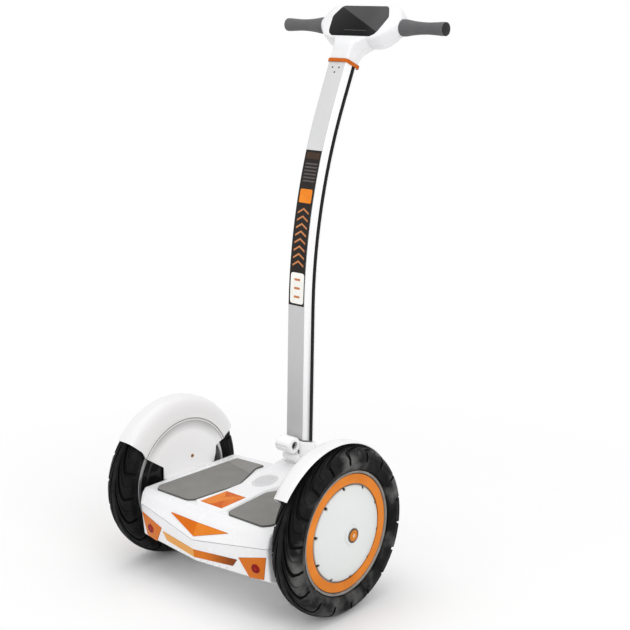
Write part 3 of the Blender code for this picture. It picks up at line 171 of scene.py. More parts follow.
class Finish:
    """A material with its shader, and short ways to add nodes to it."""

    def __init__(self, name, **sockets):
        self.material = bpy.data.materials.new(name)
        self.material.use_nodes = True
        self.tree = self.material.node_tree
        self.shader = self.tree.nodes["Principled BSDF"]
        self.place = self.node("TexCoord").outputs["Object"]
        for socket, value in sockets.items():
            self.shader.inputs[socket.replace("_", " ")].default_value = value

    def feed(self, socket, value):
        """Links another socket to this one, or sets it to a number or a screen colour."""
        if isinstance(value, bpy.types.NodeSocket):
            self.tree.links.new(value, socket)
        else:
            socket.default_value = paint(*value) if socket.type == "RGBA" else value

    def node(self, kind, **inputs):
        made = self.tree.nodes.new("ShaderNode" + kind)
        for socket, value in inputs.items():
            self.feed(made.inputs[socket.replace("_", " ")], value)
        return made

    def maths(self, operation, *values, kind="Math"):
        made = self.node(kind)
        made.operation = operation
        for socket, value in zip(made.inputs, values):
            self.feed(socket, value)
        return made.outputs["Value"]

    def axis(self, name, place=None):
        """One coordinate, in the piece's own measures unless another place is given."""
        return self.node("SeparateXYZ", Vector=place or self.place).outputs[name]

    def noise(self, scale, detail=2.0, stretch=None):
        """Smooth noise from 0 to 1, with features about 1 / scale metres wide."""
        place = self.place
        if stretch:
            place = self.node("Mapping", Vector=place, Scale=stretch).outputs["Vector"]
        return self.node("TexNoise", Vector=place, Scale=scale, Detail=detail).outputs["Fac"]

    def between(self, value, low=0.0, high=1.0, start=0.3, end=0.7):
        """A value spread out between two numbers."""
        spread = {"From Min": start, "From Max": end, "To Min": low, "To Max": high}
        return self.node("MapRange", Value=value, **spread).outputs["Result"]

    def blend(self, value, first, second):
        """One colour turning into another as the value goes from 0 to 1."""
        made = self.node("Mix")
        made.data_type = "RGBA"
        for socket, fed in ((0, value), (6, first), (7, second)):
            self.feed(made.inputs[socket], fed)
        return made.outputs[2]

    def drift(self, scale, first, second, detail=2.0):
        """Two close shades that run into each other."""
        return self.blend(self.between(self.noise(scale, detail)), first, second)

    def uneven(self, scale, low, high, detail=3.0, stretch=None):
        """A roughness that wanders between two numbers."""
        return self.between(self.noise(scale, detail, stretch), low, high)

    def done(self, colour, gloss, height, depth):
        """Links the colour, the roughness and a relief of this depth in metres."""
        relief = self.node("Bump", Height=height, Distance=depth).outputs["Normal"]
        for name, socket in (("Base Color", colour), ("Roughness", gloss), ("Normal", relief)):
            self.feed(self.shader.inputs[name], socket)
        return self.material


def moulded(
    name, first, second, gloss, drift=9.0, grain=1400.0, depth=0.00002, specular=0.5, **sockets
):
    """Moulded plastic or rubber: two close shades, an uneven gloss, a fine grain."""
    made = Finish(name, Specular_IOR_Level=specular, **sockets)
    colour = made.drift(drift, first, second)
    return made.done(colour, made.uneven(drift * 6, *gloss), made.noise(grain), depth)


WHITE = moulded(
    "gloss_white_shell", (240, 240, 241), (238, 238, 240), (0.24, 0.28), depth=0.000006,
    specular=0.4, Coat_Weight=0.1, Coat_Roughness=0.08,
)
print("finishes:", len(bpy.data.materials))

# %% [markdown]
# ## Floor
#
# A catalogue picture has no horizon. The floor is a wide pale plane that takes the
# machine's shadow. Further out it turns into plain white for the camera, for reflections
# and for what is seen through a lens, so that it runs into the white world behind it.
# The machine's own light isn't changed by this.

# %% Floor finish
CLEAR_FROM, CLEAR_TO = 0.32, 1.25
pale = Finish("studio_floor", Roughness=0.9, Specular_IOR_Level=0.05)
pale.feed(pale.shader.inputs["Base Color"], pale.drift(0.6, (252, 252, 252), (250, 250, 250)))
away = pale.maths("LENGTH", pale.place, kind="VectorMath")
outer = pale.between(away, start=CLEAR_FROM, end=CLEAR_TO)
share = pale.maths("MULTIPLY", looked_at(pale.tree), outer)
mixed = pale.node("MixShader")
for i, socket in enumerate((share, pale.shader.outputs[0], pale.node("Emission").outputs[0])):
    pale.feed(mixed.inputs[i], socket)
pale.feed(pale.tree.nodes["Material Output"].inputs["Surface"], mixed.outputs[0])
print("floor turns white from", CLEAR_FROM, "m")

# %% Floor
FLOOR_REACH = 30.0
floor_mesh = bpy.data.meshes.new("studio_floor")
bm = bmesh.new()
bmesh.ops.create_grid(bm, x_segments=1, y_segments=1, size=FLOOR_REACH)
bm.to_mesh(floor_mesh)
bm.free()
floor_mesh.materials.append(pale.material)
floor = bpy.data.objects.new("studio_floor", floor_mesh)
bpy.context.scene.collection.objects.link(floor)
print("floor laid")

# %% [markdown]
# ## Making and placing pieces
#
# Every piece is a mesh drawn in the machine's own measures. A helper puts it in the
# frame, gives it its finish, lets it ride on the body that carries it, and hides the
# solids it stands for. Where shapes are cut out of each other, rough objects with
# Boolean modifiers do the work and the result is taken as one clean mesh.

# %% Mesh helpers


def mesh_from(bm, weld=False):
    """The drawing as a mesh whose faces look outwards. Doubled points can be welded."""
    if weld:
        bmesh.ops.remove_doubles(bm, verts=bm.verts, dist=1e-6)
        bmesh.ops.dissolve_degenerate(bm, edges=bm.edges, dist=1e-6)
    bmesh.ops.recalc_face_normals(bm, faces=bm.faces)
    mesh = bpy.data.meshes.new("drawn")
    bm.to_mesh(mesh)
    bm.free()
    return mesh


def add_piece(name, mesh, finish, body, slot, stands_for=(), at=Matrix(), angle=32, rule=None):
    """A piece in its place in the frame, dressed, and riding on its body.

    Edges sharper than the angle stay crisp. A rule tells which finish a face gets.
    """
    mesh.shade_smooth()
    mesh.set_sharp_from_angle(angle=math.radians(angle))
    numbers = [rule(face) if rule else face.material_index for face in mesh.polygons]
    mesh.materials.clear()
    for one in finish if isinstance(finish, list) else [finish]:
        mesh.materials.append(one)
    mesh.polygons.foreach_set("material_index", numbers)
    obj = bpy.data.objects.new(name, mesh)
    obj.matrix_world = DRAWING @ at
    bpy.context.scene.collection.objects.link(obj)
    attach(obj, body)
    if stands_for:
        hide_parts(*stands_for)
    print(name, len(mesh.polygons), "faces")


def add_side(side, name, mesh, finish, body, slot, solid=None, **more):
    """A piece on one side, which may stand for a solid on that side."""
    stands_for = [solid + "_" + side] if solid else ()
    add_piece(name + "_" + side, mesh, finish, body, slot, stands_for, **more)


# %% Rough objects for cutting and joining
TOOLS = {}


def rough(mesh):
    """An object to work on, which becomes a mesh in settle."""
    obj = bpy.data.objects.new("rough", mesh)
    bpy.context.scene.collection.objects.link(obj)
    return obj


def shape(obj, mesh, operation="UNION"):
    """Joins a mesh on, or cuts it out of the object, or keeps what they share."""
    helper = rough(mesh)
    modifier = obj.modifiers.new(operation.lower(), "BOOLEAN")
    modifier.operation = operation
    modifier.object = helper
    modifier.solver = "EXACT"
    TOOLS.setdefault(obj.name, []).append(helper)
    return helper


def cut(obj, *meshes):
    for mesh in meshes:
        shape(obj, mesh, "DIFFERENCE")


def bevel(obj, width, segments=3, angle=30):
    modifier = obj.modifiers.new("bevel", "BEVEL")
    modifier.width = width
    modifier.segments = segments
    modifier.angle_limit = math.radians(angle)


def wall(obj, thickness):
    modifier = obj.modifiers.new("wall", "SOLIDIFY")
    modifier.thickness = thickness
    modifier.use_even_offset = True
    modifier.use_quality_normals = True


def discard(obj):
    for helper in TOOLS.pop(obj.name, []):
        discard(helper)
    bpy.data.objects.remove(obj)


def settle(obj):
    """The object's finished mesh. The object and its tools are removed."""
    bpy.context.view_layer.update()
    graph = bpy.context.evaluated_depsgraph_get()
    mesh = bpy.data.meshes.new_from_object(obj.evaluated_get(graph))
    discard(obj)
    return mesh


def edged(mesh, width, segments, *cuts):
    """The mesh with its edges rounded, and then shapes cut out of it."""
    obj = rough(mesh)
    bevel(obj, width, segments)
    cut(obj, *cuts)
    return settle(obj)


# %% [markdown]
# Three ways to draw cover nearly every piece. A **lathe** spins a section round an axis,
# for the wheels and grips. A **sweep** carries a closed outline along a row of places,
# for the mast. A **plate** is a flat outline given a thickness, for mats, labels and
# glass. The last two are lofts: rings of points, with faces from each to the next.
# Sharp corners are rounded in the drawing itself, because an edge without a small
# radius catches no light and looks like paper.

# %% Lines


def rounded(points, radius, steps=3, closed=True):
    """The line with each corner turned into a small curve."""
    found = []
    places = [Vector(point) for point in points]
    for i, here in enumerate(places):
        if not closed and i in (0, len(places) - 1):
            found.append(tuple(here))
            continue
        before, after = places[i - 1] - here, places[(i + 1) % len(places)] - here
        near = min(radius, 0.45 * before.length, 0.45 * after.length)
        start, end = here + before.normalized() * near, here + after.normalized() * near
        for k in range(steps + 1):
            t = k / steps
            found.append(tuple(start * (1 - t) ** 2 + here * 2 * t * (1 - t) + end * t ** 2))
    return found


def flowing(points, per_span=4):
    """A smooth line through all the points, with extra ones between them."""
    places = [Vector(p) for p in points]
    places = [places[0] * 2 - places[1], *places, places[-1] * 2 - places[-2]]
    found = []
    for a, b, c, d in zip(places, places[1:], places[2:], places[3:]):
        for k in range(per_span):
            t = k / per_span
            bow = 2 * b + (c - a) * t + (2 * a - 5 * b + 4 * c - d) * t * t
            found.append(tuple(0.5 * (bow + (3 * b - a - 3 * c + d) * t ** 3)))
    return found + [tuple(places[-2])]


def mirrored(points):
    return [(-x, y) for x, y in points][::-1]


def arc(centre, radius, start, end, steps):
    turns = [math.radians(start + (end - start) * i / steps) for i in range(steps + 1)]
    return [(centre[0] + radius * math.cos(t), centre[1] + radius * math.sin(t)) for t in turns]


def offset_line(points, by):
    """The outline with every side moved outwards by the same distance."""
    area = sum(a[0] * b[1] - b[0] * a[1] for a, b in zip(points, points[1:] + points[:1]))
    side = by if area > 0 else -by
    found = []
    for i in range(len(points)):
        before, here, after = (Vector(points[(i + k) % len(points)]) for k in (-1, 0, 1))
        first, second = (here - before).normalized(), (after - here).normalized()
        normal = Vector((first.y, -first.x))
        middle = (normal + Vector((second.y, -second.x))).normalized()
        found.append(tuple(here + middle * (side / max(middle.dot(normal), 0.3))))
    return found


# %% Lathe, loft, sweep and plate


def lathe(section, steps=96, closed=True):
    """A section of (radius, height) points spun round the Z axis."""
    bm = bmesh.new()
    loop = [bm.verts.new((r, 0, z)) for r, z in section]
    edges = [bm.edges.new(pair) for pair in zip(loop, loop[1:])]
    if closed:
        edges.append(bm.edges.new((loop[-1], loop[0])))
    bmesh.ops.spin(
        bm, geom=loop + edges, axis=(0, 0, 1), cent=(0, 0, 0),
        angle=2 * math.pi, steps=steps, use_merge=True,
    )
    return mesh_from(bm, weld=True)


def bridge(bm, one, other):
    """Faces all the way round between two rings of points."""
    pairs = list(zip(one, other))
    return [bm.faces.new((a, c, d, b)) for (a, b), (c, d) in zip(pairs, pairs[1:] + pairs[:1])]


def loft(rings, capped=True, flat=False, weld=False):
    """A solid through rings of the same number of points. Flat ends stay one face."""
    bm = bmesh.new()
    made = [[bm.verts.new(point) for point in ring] for ring in rings]
    for one, other in zip(made, made[1:]):
        bridge(bm, one, other)
    if capped:
        ends = [bm.faces.new(made[0][::-1]), bm.faces.new(made[-1])]
        if not flat:
            bmesh.ops.triangulate(bm, faces=ends)
    return mesh_from(bm, weld)


def sweep(outline, stations, capped=True):
    """A closed outline carried along stations, each a matrix whose Z is the way on."""
    return loft([[m @ Vector((*p, 0)) for p in outline] for m in stations], capped, flat=True)


def plate(outline, thickness, edge=0.0, steps=2):
    """A flat outline from z = 0 up to its thickness, its upper edge rounded."""
    levels = [(0.0, 0.0)]
    if not edge:
        levels.append((0.0, thickness))
    for k in range(steps + 1 if edge else 0):
        turn = math.pi / 2 * k / steps
        levels.append((edge * (1 - math.cos(turn)), thickness - edge * (1 - math.sin(turn))))
    rings = []
    for inset, height in levels:
        line = offset_line(outline, -inset) if inset else outline
        rings.append([(x, y, height) for x, y in line])
    return loft(rings, flat=True)


# %% Blocks and rods


def block(low, high):
    bm = bmesh.new()
    bmesh.ops.create_cube(bm, size=1.0)
    bmesh.ops.scale(bm, vec=[b - a for a, b in zip(low, high)], verts=bm.verts)
    bmesh.ops.translate(bm, vec=[(a + b) / 2 for a, b in zip(low, high)], verts=bm.verts)
    return mesh_from(bm)


def rod(radius, start, end, steps=32, end_radius=None):
    """A cylinder or a cone from one place to another."""
    axis = Vector(end) - Vector(start)
    bm = bmesh.new()
    bmesh.ops.create_cone(
        bm, cap_ends=True, segments=steps, radius1=radius,
        radius2=radius if end_radius is None else end_radius, depth=axis.length,
    )
    turn = axis.to_track_quat("Z", "Y").to_matrix().to_4x4()
    middle = Matrix.Translation((Vector(start) + Vector(end)) / 2)
    bmesh.ops.transform(bm, matrix=middle @ turn, verts=bm.verts)
    return mesh_from(bm)


def moved(mesh, matrix):
    mesh.transform(matrix)
    return mesh


def joined(meshes):
    """Several meshes as one."""
    bm = bmesh.new()
    for mesh in meshes:
        bm.from_mesh(mesh)
    return mesh_from(bm)


print("helpers ready")

# %% [markdown]
# ## Tyres
#
# The tyre is what the eye meets first: black rubber with long curved grooves. Each one
# starts beside the middle rib, runs almost along the tyre, and hooks out over the
# shoulder, so that the blocks end in lugs on the sidewall. It could be painted on as
# bump, but then the outline would stay a plain circle. So the mesh itself follows the
# grooves: its columns lean along them, two columns of each pitch are pressed in, and
# the edges stay crisp with few faces.

# %% Tyre measures
PITCHES = 18
PITCH = 2 * math.pi / PITCHES
SECTION = [
    (0.18, 0.0), (0.1799, 0.0045), (0.1796, 0.0068), (0.1791, 0.0092), (0.1786, 0.0115),
    (0.178, 0.014), (0.1771, 0.0168), (0.176, 0.0196), (0.1746, 0.0224), (0.1728, 0.0252),
    (0.1706, 0.028), (0.168, 0.0306), (0.165, 0.0328), (0.1618, 0.0341), (0.16, 0.0347),
    (0.1594, 0.0338), (0.156, 0.0345), (0.152, 0.0348), (0.1516, 0.0356), (0.15, 0.0356),
    (0.1496, 0.0346), (0.145, 0.0334), (0.141, 0.0316), (0.1378, 0.0297), (0.1366, 0.0299),
    (0.135, 0.0288), (0.134, 0.0268), (0.1332, 0.0225),
]
TYRE_INSIDE = 0.162
RIB, HOOK = 0.0045, 0.03
HOOK_SWEEP = math.radians(36.0)
GROOVE_DEPTH = 0.0042
LUG_END_R = 0.15
SIPE_WIDE, SIPE_SHARE, SIPE_END_R = 0.0012, 0.45, 0.162


def groove_lean(reach):
    """How far round the groove is at a reach from the middle, and how steeply it runs."""
    span = HOOK - RIB
    share = min(max((HOOK - reach) / span, 0.0), 1.0)
    return HOOK_SWEEP * share ** 1.8, HOOK_SWEEP * 1.8 * share ** 0.8 / span


def pressed_in(radius, reach):
    """How deep each kind of column lies here: the plain ones, the sipe and the groove."""
    depths = [0.0]
    for end, rise_in, fall_in, share, foot in (
        (SIPE_END_R, 0.006, 0.006, SIPE_SHARE, 0.0), (LUG_END_R, 0.004, 0.008, 1.0, 0.3),
    ):
        rise = min((reach - RIB) / rise_in, 1.0)
        fall = min((radius - end) / fall_in, 1.0)
        inside = reach > RIB and radius > end
        depths.append(GROOVE_DEPTH * share * rise * (foot + (1 - foot) * fall) if inside else 0.0)
    return depths


# %% Tyre mesh
COLUMNS = 14
FLAT, SIPE, MAIN = range(3)
KINDS = [FLAT] * 5 + [SIPE] * 2 + [FLAT] * 5 + [MAIN] * 2


def tyre_columns(radius, reach, flip):
    """The columns of one pitch, as (angle, what the column belongs to)."""
    lean, steepness = groove_lean(reach)
    width = 0.0034 + 0.003 * min(reach / HOOK, 1.0)
    slant = math.hypot(1.0, radius * steepness)
    turn = min(width * slant / radius, 0.45 * PITCH)
    if reach <= RIB:
        places = [0.2 * PITCH + k * PITCH / COLUMNS for k in range(COLUMNS)]
    else:
        half_cut = min(SIPE_WIDE * slant / radius, 0.14 * PITCH) / 2
        middle = (turn + PITCH) / 2
        part = (middle - half_cut - turn) / 4
        places = [turn + part * k for k in range(5)]
        places += [middle - 0.6 * half_cut, middle + 0.6 * half_cut]
        places += [middle + half_cut + part * k for k in range(5)]
        places += [PITCH + 0.16 * turn, PITCH + 0.84 * turn]
    start = (0.5 * PITCH if flip else 0.0) - lean
    columns = [(start + place, kind) for place, kind in zip(places, KINDS)]
    if flip:
        half = COLUMNS // 2
        columns = [(angle - PITCH, kind) for angle, kind in columns[half:]] + columns[:half]
    return columns


def tyre_mesh(hand):
    """hand is 1 or -1: the way round that the grooves lean."""
    line = SECTION[::-1] + [(r, -s) for r, s in SECTION[1:]]
    bm = bmesh.new()
    rings, pressed = [], set()
    for row, (radius, s) in enumerate(line):
        before, after = line[max(row - 1, 0)], line[min(row + 1, len(line) - 1)]
        along = (Vector(after) - Vector(before)).normalized()
        inward = Vector((along.y, -along.x))
        if inward.dot(Vector((TYRE_INSIDE - radius - 0.02, -s))) < 0:
            inward.negate()
        depths = pressed_in(radius, abs(s))
        columns = tyre_columns(radius, abs(s), s < 0)
        ring = []
        for angle, kind in [(a + k * PITCH, kind) for k in range(PITCHES) for a, kind in columns]:
            r, z = Vector((radius, s)) + inward * depths[kind]
            ring.append(bm.verts.new((r * math.cos(hand * angle), r * math.sin(hand * angle), z)))
            if depths[kind]:
                pressed.add(ring[-1])
        rings.append(ring)
    around = arc((0, 0), TYRE_INSIDE, 0, hand * 360, PITCHES * COLUMNS)[:-1]
    rings.append([bm.verts.new((x, y, 0)) for x, y in around])
    for one, other in zip(rings, rings[1:] + rings[:1]):
        for face in bridge(bm, one, other):
            # Faces pressed into a groove take the darker rubber: painted shade.
            face.material_index = int(sum(vert in pressed for vert in face.verts) > 1)
    return mesh_from(bm)


print("tyre rows:", 2 * len(SECTION) - 1, "columns:", PITCHES * COLUMNS)

# %% Rubber


def rubber(name, dark, dust_and_sheen_tone, shoulder_highlight):
    """Black rubber, greyer with dirt and painted sheen; painted highlights on the outer shoulder.
    """
    made = Finish(name, Specular_IOR_Level=0.1, Sheen_Weight=0.02, Sheen_Roughness=0.5)
    # Random grey spots are partly dirt and partly painted sheen.
    dust_and_sheen_mask = made.between(made.noise(30.0, 4.0), start=0.42, end=0.7)
    # On the outer shoulder the lighter spots are a painted highlight.
    highlight_patch = made.between(made.noise(17.0, 4.0), start=0.5, end=0.72)
    shoulder = made.between(made.axis("Z"), start=0.014, end=0.027)
    colour = made.blend(
        made.maths("MULTIPLY", highlight_patch, shoulder), made.blend(dust_and_sheen_mask, dark, dust_and_sheen_tone), shoulder_highlight,
    )
    return made.done(colour, made.uneven(140.0, 0.45, 0.68), made.noise(900.0, 3.0), 0.00006)


TYRE_RUBBER = rubber("tyre_rubber", (10, 10, 11), (30, 30, 31), (94, 94, 93))
# The grooves get a darker rubber, a painted shade in the recesses.
GROOVE_SHADE_RUBBER = rubber("tyre_groove_painted_shade", (3, 3, 3), (8, 8, 8), (14, 14, 14))

# %% Fit the tyres
HUB = {
    side: shift(sign * WHEEL_X, 0, WHEEL_R) @ Matrix.Rotation(math.radians(sign * 90), 4, "Y")
    for side, sign in SIDES
}


def on_wheel(side, name, mesh, finish, slot, solid=None, **more):
    """A piece that turns with one wheel."""
    add_side(side, name, mesh, finish, "wheel_" + side, slot, solid, at=HUB[side], **more)


for side, sign in SIDES:
    rubbers = [TYRE_RUBBER, GROOVE_SHADE_RUBBER]
    on_wheel(side, "treaded_tyre", tyre_mesh(sign), rubbers, "tyre_rubber", "tyre", angle=30)

# %% [markdown]
# ## Rims, rings and wheel covers
#
# Everything inside the tyre is turned, so each piece is one section on the lathe: the
# cast rim with its bright lip, the broad orange ring in its recess, the white domed
# cover, and on the inner side the glossy black cover of the motor. The dome's height
# follows a flattened ellipse, so it falls away faster near its edge and shades there.

# %% Wheel sections
RIM_SECTION = rounded([
    (0.1318, 0.025), (0.1318, 0.0225), (0.12, 0.015), (0.12, -0.017), (0.1318, -0.0262),
    (0.1318, -0.029), (0.1238, -0.029), (0.121, -0.024), (0.1, -0.0235), (0.1, 0.0195),
    (0.1252, 0.0195), (0.1268, 0.025),
], 0.0012)
RING_SECTION = rounded(
    [(0.124, 0.0198), (0.1246, 0.0226), (0.1046, 0.0226), (0.1046, 0.0198)], 0.0006,
)
DOME_R, DOME_EDGE, DOME_RISE, DOME_STEPS = 0.101, 0.0222, 0.0146, 18


def dome_height(radius):
    return DOME_EDGE + DOME_RISE * (1 - (radius / DOME_R) ** 2) ** 0.62


dome = [DOME_R * math.sin(math.pi / 2 * k / DOME_STEPS) for k in range(DOME_STEPS, 3, -1)]
COVER_SECTION = [(DOME_R, 0.02)] + [(r, dome_height(r)) for r in dome] + rounded([
    (0.0222, dome_height(0.0222)), (0.0206, 0.0398), (0.0086, 0.0398), (0.0086, 0.024),
    (0.018, 0.024), (0.024, 0.033), (0.0965, 0.02),
], 0.0008, closed=False)
MOTOR_SECTION = rounded([
    (0.1188, -0.0238), (0.1185, -0.0262), (0.108, -0.0268), (0.105, -0.03), (0.085, -0.0325),
    (0.062, -0.033), (0.056, -0.0352), (0.02, -0.0362), (0.0086, -0.0362), (0.0086, -0.024),
    (0.018, -0.024), (0.024, -0.0325), (0.098, -0.0238),
], 0.0016)
HUB_CAP_SECTION = rounded([
    (0.0, 0.0401), (0.0118, 0.0401), (0.0118, 0.042), (0.01, 0.0434), (0.0074, 0.0434),
    (0.006, 0.0418), (0.0, 0.0418),
], 0.0006, closed=False)
SEAL_SECTION = rounded(
    [(0.0121, 0.0399), (0.0154, 0.0399), (0.0154, 0.0416), (0.0121, 0.0416)], 0.0005,
)
print("dome", round(1000 * dome_height(0), 1), "mm out")

# %% Wheel finishes
cast = Finish("satin_cast_rim", Metallic=1.0)
CAST_RIM = cast.done(
    cast.drift(35.0, (188, 188, 190), (205, 205, 206), 3.0), cast.uneven(260.0, 0.28, 0.42),
    cast.noise(1600.0), 0.00003,
)
# The rim's outer faces take a darker grey: the lip's own grey, and a painted shade in the gap
# between ring and cover.
RIM_EDGE_AND_GAP_SHADE = moulded(
    "rim_edge_grey_and_gap_shade", (150, 146, 142), (128, 124, 120), (0.35, 0.5), drift=40.0, Metallic=0.7,
)
RING_ORANGE = moulded(
    "satin_orange_ring", (230, 134, 44), (212, 120, 34), (0.3, 0.4), drift=16.0, specular=0.12,
)
MOTOR_BLACK = moulded(
    "glossy_black_motor", (9, 9, 9), (14, 14, 14), (0.14, 0.24), drift=30.0, grain=700.0,
    specular=0.3,
)
DARK_STEEL = moulded(
    "dark_screw_steel", (40, 38, 36), (56, 54, 52), (0.35, 0.5), drift=220.0, specular=0.15,
)
COVER_WHITE = moulded(
    "cover_silver_white", (222, 225, 223), (218, 221, 220), (0.3, 0.36), drift=8.0,
    depth=0.000006, specular=0.4, Coat_Weight=0.05, Coat_Roughness=0.1,
)
HUB_ORANGE = moulded(
    "hub_orange", (216, 132, 46), (198, 116, 36), (0.35, 0.45), drift=90.0, specular=0.12,
)
PALE_BRASS = moulded(
    "pale_brass_nut", (236, 196, 150), (222, 180, 132), (0.35, 0.5), drift=200.0, Metallic=0.5,
)
SEAL_GREY = moulded(
    "hub_seal_grey", (98, 84, 72), (84, 72, 62), (0.5, 0.65), drift=120.0, specular=0.25,
)
print("finishes:", len(bpy.data.materials))

# %% Fit the wheels
COVER_SCREWS, COVER_SCREW_R, FIRST_SCREW = 10, 0.0992, 114
LIP_FROM = 0.019
STEM_AT = Matrix.Rotation(math.radians(200), 4, "Z") @ Vector((0.1225, 0, 0))
screw_height = dome_height(COVER_SCREW_R)
screw_ring = arc((0, 0), COVER_SCREW_R, FIRST_SCREW, FIRST_SCREW + 360, COVER_SCREWS)[:-1]


def screw_rod(radius, place, low, high, steps):
    """A rod at a screw's place, between two heights over the cover's dome."""
    return rod(radius, (*place, screw_height + low), (*place, screw_height + high), steps)


for side, sign in SIDES:
    rim = rough(lathe(RIM_SECTION))
    shape(rim, rod(0.003, (*STEM_AT.xy, -0.02), (*STEM_AT.xy, -0.0318), 20, 0.0026))
    on_wheel(
        side, "cast_rim", settle(rim), [CAST_RIM, RIM_EDGE_AND_GAP_SHADE], "cast_rim", "rim",
        rule=lambda face: int(face.center.z > LIP_FROM),
    )
    on_wheel(side, "orange_ring", lathe(RING_SECTION), RING_ORANGE, "orange_trim", "rim_ring")
    cover = rough(lathe(COVER_SECTION))
    cut(cover, *(screw_rod(0.0038, place, -0.0024, 0.006, 20) for place in screw_ring))
    on_wheel(side, "domed_cover", settle(cover), COVER_WHITE, "white_shell", "wheel_cover")
    screws = joined(screw_rod(0.0031, place, -0.0026, -0.0008, 16) for place in screw_ring)
    on_wheel(side, "cover_screws", screws, DARK_STEEL, "steel")
    on_wheel(side, "motor_cone", lathe(MOTOR_SECTION), MOTOR_BLACK, "black_motor", "motor_cover")
    cap = lathe(HUB_CAP_SECTION, 48, closed=False)
    on_wheel(side, "orange_hub_cap", cap, HUB_ORANGE, "orange_trim", "hub_cap")
    nut = edged(rod(0.005, (0, 0, 0.042), (0, 0, 0.0429), 6), 0.0004, 2)
    on_wheel(side, "hub_nut", nut, PALE_BRASS, "steel")
    on_wheel(side, "hub_seal", lathe(SEAL_SECTION, 48), SEAL_GREY, "black_plastic")

# %% [markdown]
# ## Fenders
#
# Each fender is a moulded arch over the inboard half of the tyre, with a flat panel
# that closes the wheel off from the rider's feet. Its section is a flowing line spun
# part of the way round the axle. A shallow step runs round the panel like a piping
# line, and a small brass screw holds it. The panel, the step and the crease beside it
# carry painted light and painted shade.

# %% Fender measures
PANEL_START, PANEL_END = 27.0, 146.0
ARCH_START = 28.0
ARCH_END = {1: 142.5, -1: 139.0}
ARCH_FROM_R = 0.15
ARCH_CENTRE = Vector((-0.009, -0.006))
FENDER_TURNS = 72
FENDER_LINE = flowing([
    (0.1926, 0.2539), (0.1944, 0.2522), (0.1958, 0.245), (0.1962, 0.235), (0.1957, 0.224),
    (0.1905, 0.2148), (0.183, 0.2105), (0.1751, 0.208), (0.164, 0.2064), (0.154, 0.2055),
], 3) + [
    (0.1414, 0.2042), (0.1406, 0.2044), (0.1399, 0.2066), (0.1385, 0.2066), (0.1378, 0.2046),
    (0.1352, 0.2044), (0.1344, 0.205), (0.1334, 0.206), (0.1316, 0.2064), (0.128, 0.2066),
    (0.1235, 0.2067), (0.119, 0.2068), (0.112, 0.2068),
]
PANEL_CORNERS = [(-0.063, 0.042), (-0.063, 0.014), (0.092, 0.014), (0.0985, 0.034)]
FENDER_DRAWN_FROM = 0.226
FENDER_DRAW = 0.003


def fender_mesh(sign):
    bm = bmesh.new()
    first = Matrix.Rotation(math.radians(PANEL_START), 4, "X")
    line = [bm.verts.new(first @ Vector((sign * x, r, 0))) for r, x in FENDER_LINE]
    edges = [bm.edges.new(pair) for pair in zip(line, line[1:])]
    bmesh.ops.spin(
        bm, geom=line + edges, cent=(0, 0, 0), axis=(1, 0, 0),
        angle=math.radians(PANEL_END - PANEL_START), steps=FENDER_TURNS,
    )
    low_r, low_x = FENDER_LINE[-1]
    inner = [v for v in bm.verts if abs(v.co.yz.length - low_r) < 1e-5]
    inner.sort(key=lambda v: math.atan2(v.co.z, v.co.y))
    bm.faces.new([*inner, *(bm.verts.new((sign * low_x, *corner)) for corner in PANEL_CORNERS)])
    stretch = (ARCH_END[sign] - ARCH_START) / (PANEL_END - PANEL_START)
    for vert in bm.verts:
        x, y, z = vert.co
        if vert.co.yz.length < ARCH_FROM_R:
            continue
        angle = ARCH_START + (math.degrees(math.atan2(z, y)) - PANEL_START) * stretch
        behind = max(0.0, angle - 90.0) / (ARCH_END[sign] - 90.0)
        outward = max(0.0, abs(x) - FENDER_DRAWN_FROM) / 0.03
        radius, turn = vert.co.yz.length, math.radians(angle)
        place = ARCH_CENTRE + radius * Vector((math.cos(turn), math.sin(turn)))
        vert.co = (x - sign * FENDER_DRAW * behind ** 3 * outward, *place)
    mesh = mesh_from(bm)
    if max(mesh.polygons, key=lambda face: face.center.z).normal.z < 0:
        mesh.flip_normals()
    return mesh


# %% Fender finishes
BRASS = moulded(
    "brass_screw", (186, 140, 84), (160, 112, 60), (0.3, 0.45), drift=200.0, Metallic=0.9,
)
FENDER_WHITE = moulded(
    "fender_white", (236, 235, 235), (233, 232, 232), (0.28, 0.32), drift=5.0, depth=0.000004,
    specular=0.4, Coat_Weight=0.05, Coat_Roughness=0.1,
)
# The crease and the step round the panel are painted grey: painted shade in the groove and on the
# step.
CREASE_SHADE = moulded("fender_crease_painted_shade", (176, 174, 173), (166, 164, 163), (0.4, 0.5))
STEP_SHADE = moulded("fender_step_painted_shade", (190, 188, 188), (182, 180, 180), (0.4, 0.5))

# The panel is painted brighter than the fender, with a painted shadow under the upper part of its
# rim.
panel = Finish("fender_panel_painted_light_and_shade", Specular_IOR_Level=0.4)
from_axle = panel.node(
    "Mapping", Vector=panel.place, Location=(0.0, 0.0, -WHEEL_R), Scale=(0.0, 1.0, 1.0),
).outputs["Vector"]
away = panel.maths("LENGTH", from_axle, kind="VectorMath")
rim_shadow_share = panel.between(away, start=0.11, end=0.131)
upper = panel.between(panel.axis("Z", from_axle), start=0.045, end=0.105)
plain = panel.drift(5.0, (252, 251, 251), (250, 249, 249))
shaded = panel.blend(panel.maths("MULTIPLY", rim_shadow_share, upper), plain, (196, 195, 195))
PANEL_LIT_AND_SHADED = panel.done(shaded, panel.uneven(30.0, 0.3, 0.34), panel.noise(1400.0), 0.000004)
FENDER_FINISHES = [FENDER_WHITE, PANEL_LIT_AND_SHADED, CREASE_SHADE, STEP_SHADE]

# %% Fit the fenders
WALL_TAB = ((0.1925, -0.06, 0.19), (0.2078, 0.085, 0.196))
TOP_TAB = ((0.1903, -0.055, 0.174), (0.1935, 0.08, 0.1955))
SCREW_Y, SCREW_Z = 0.024, 0.227


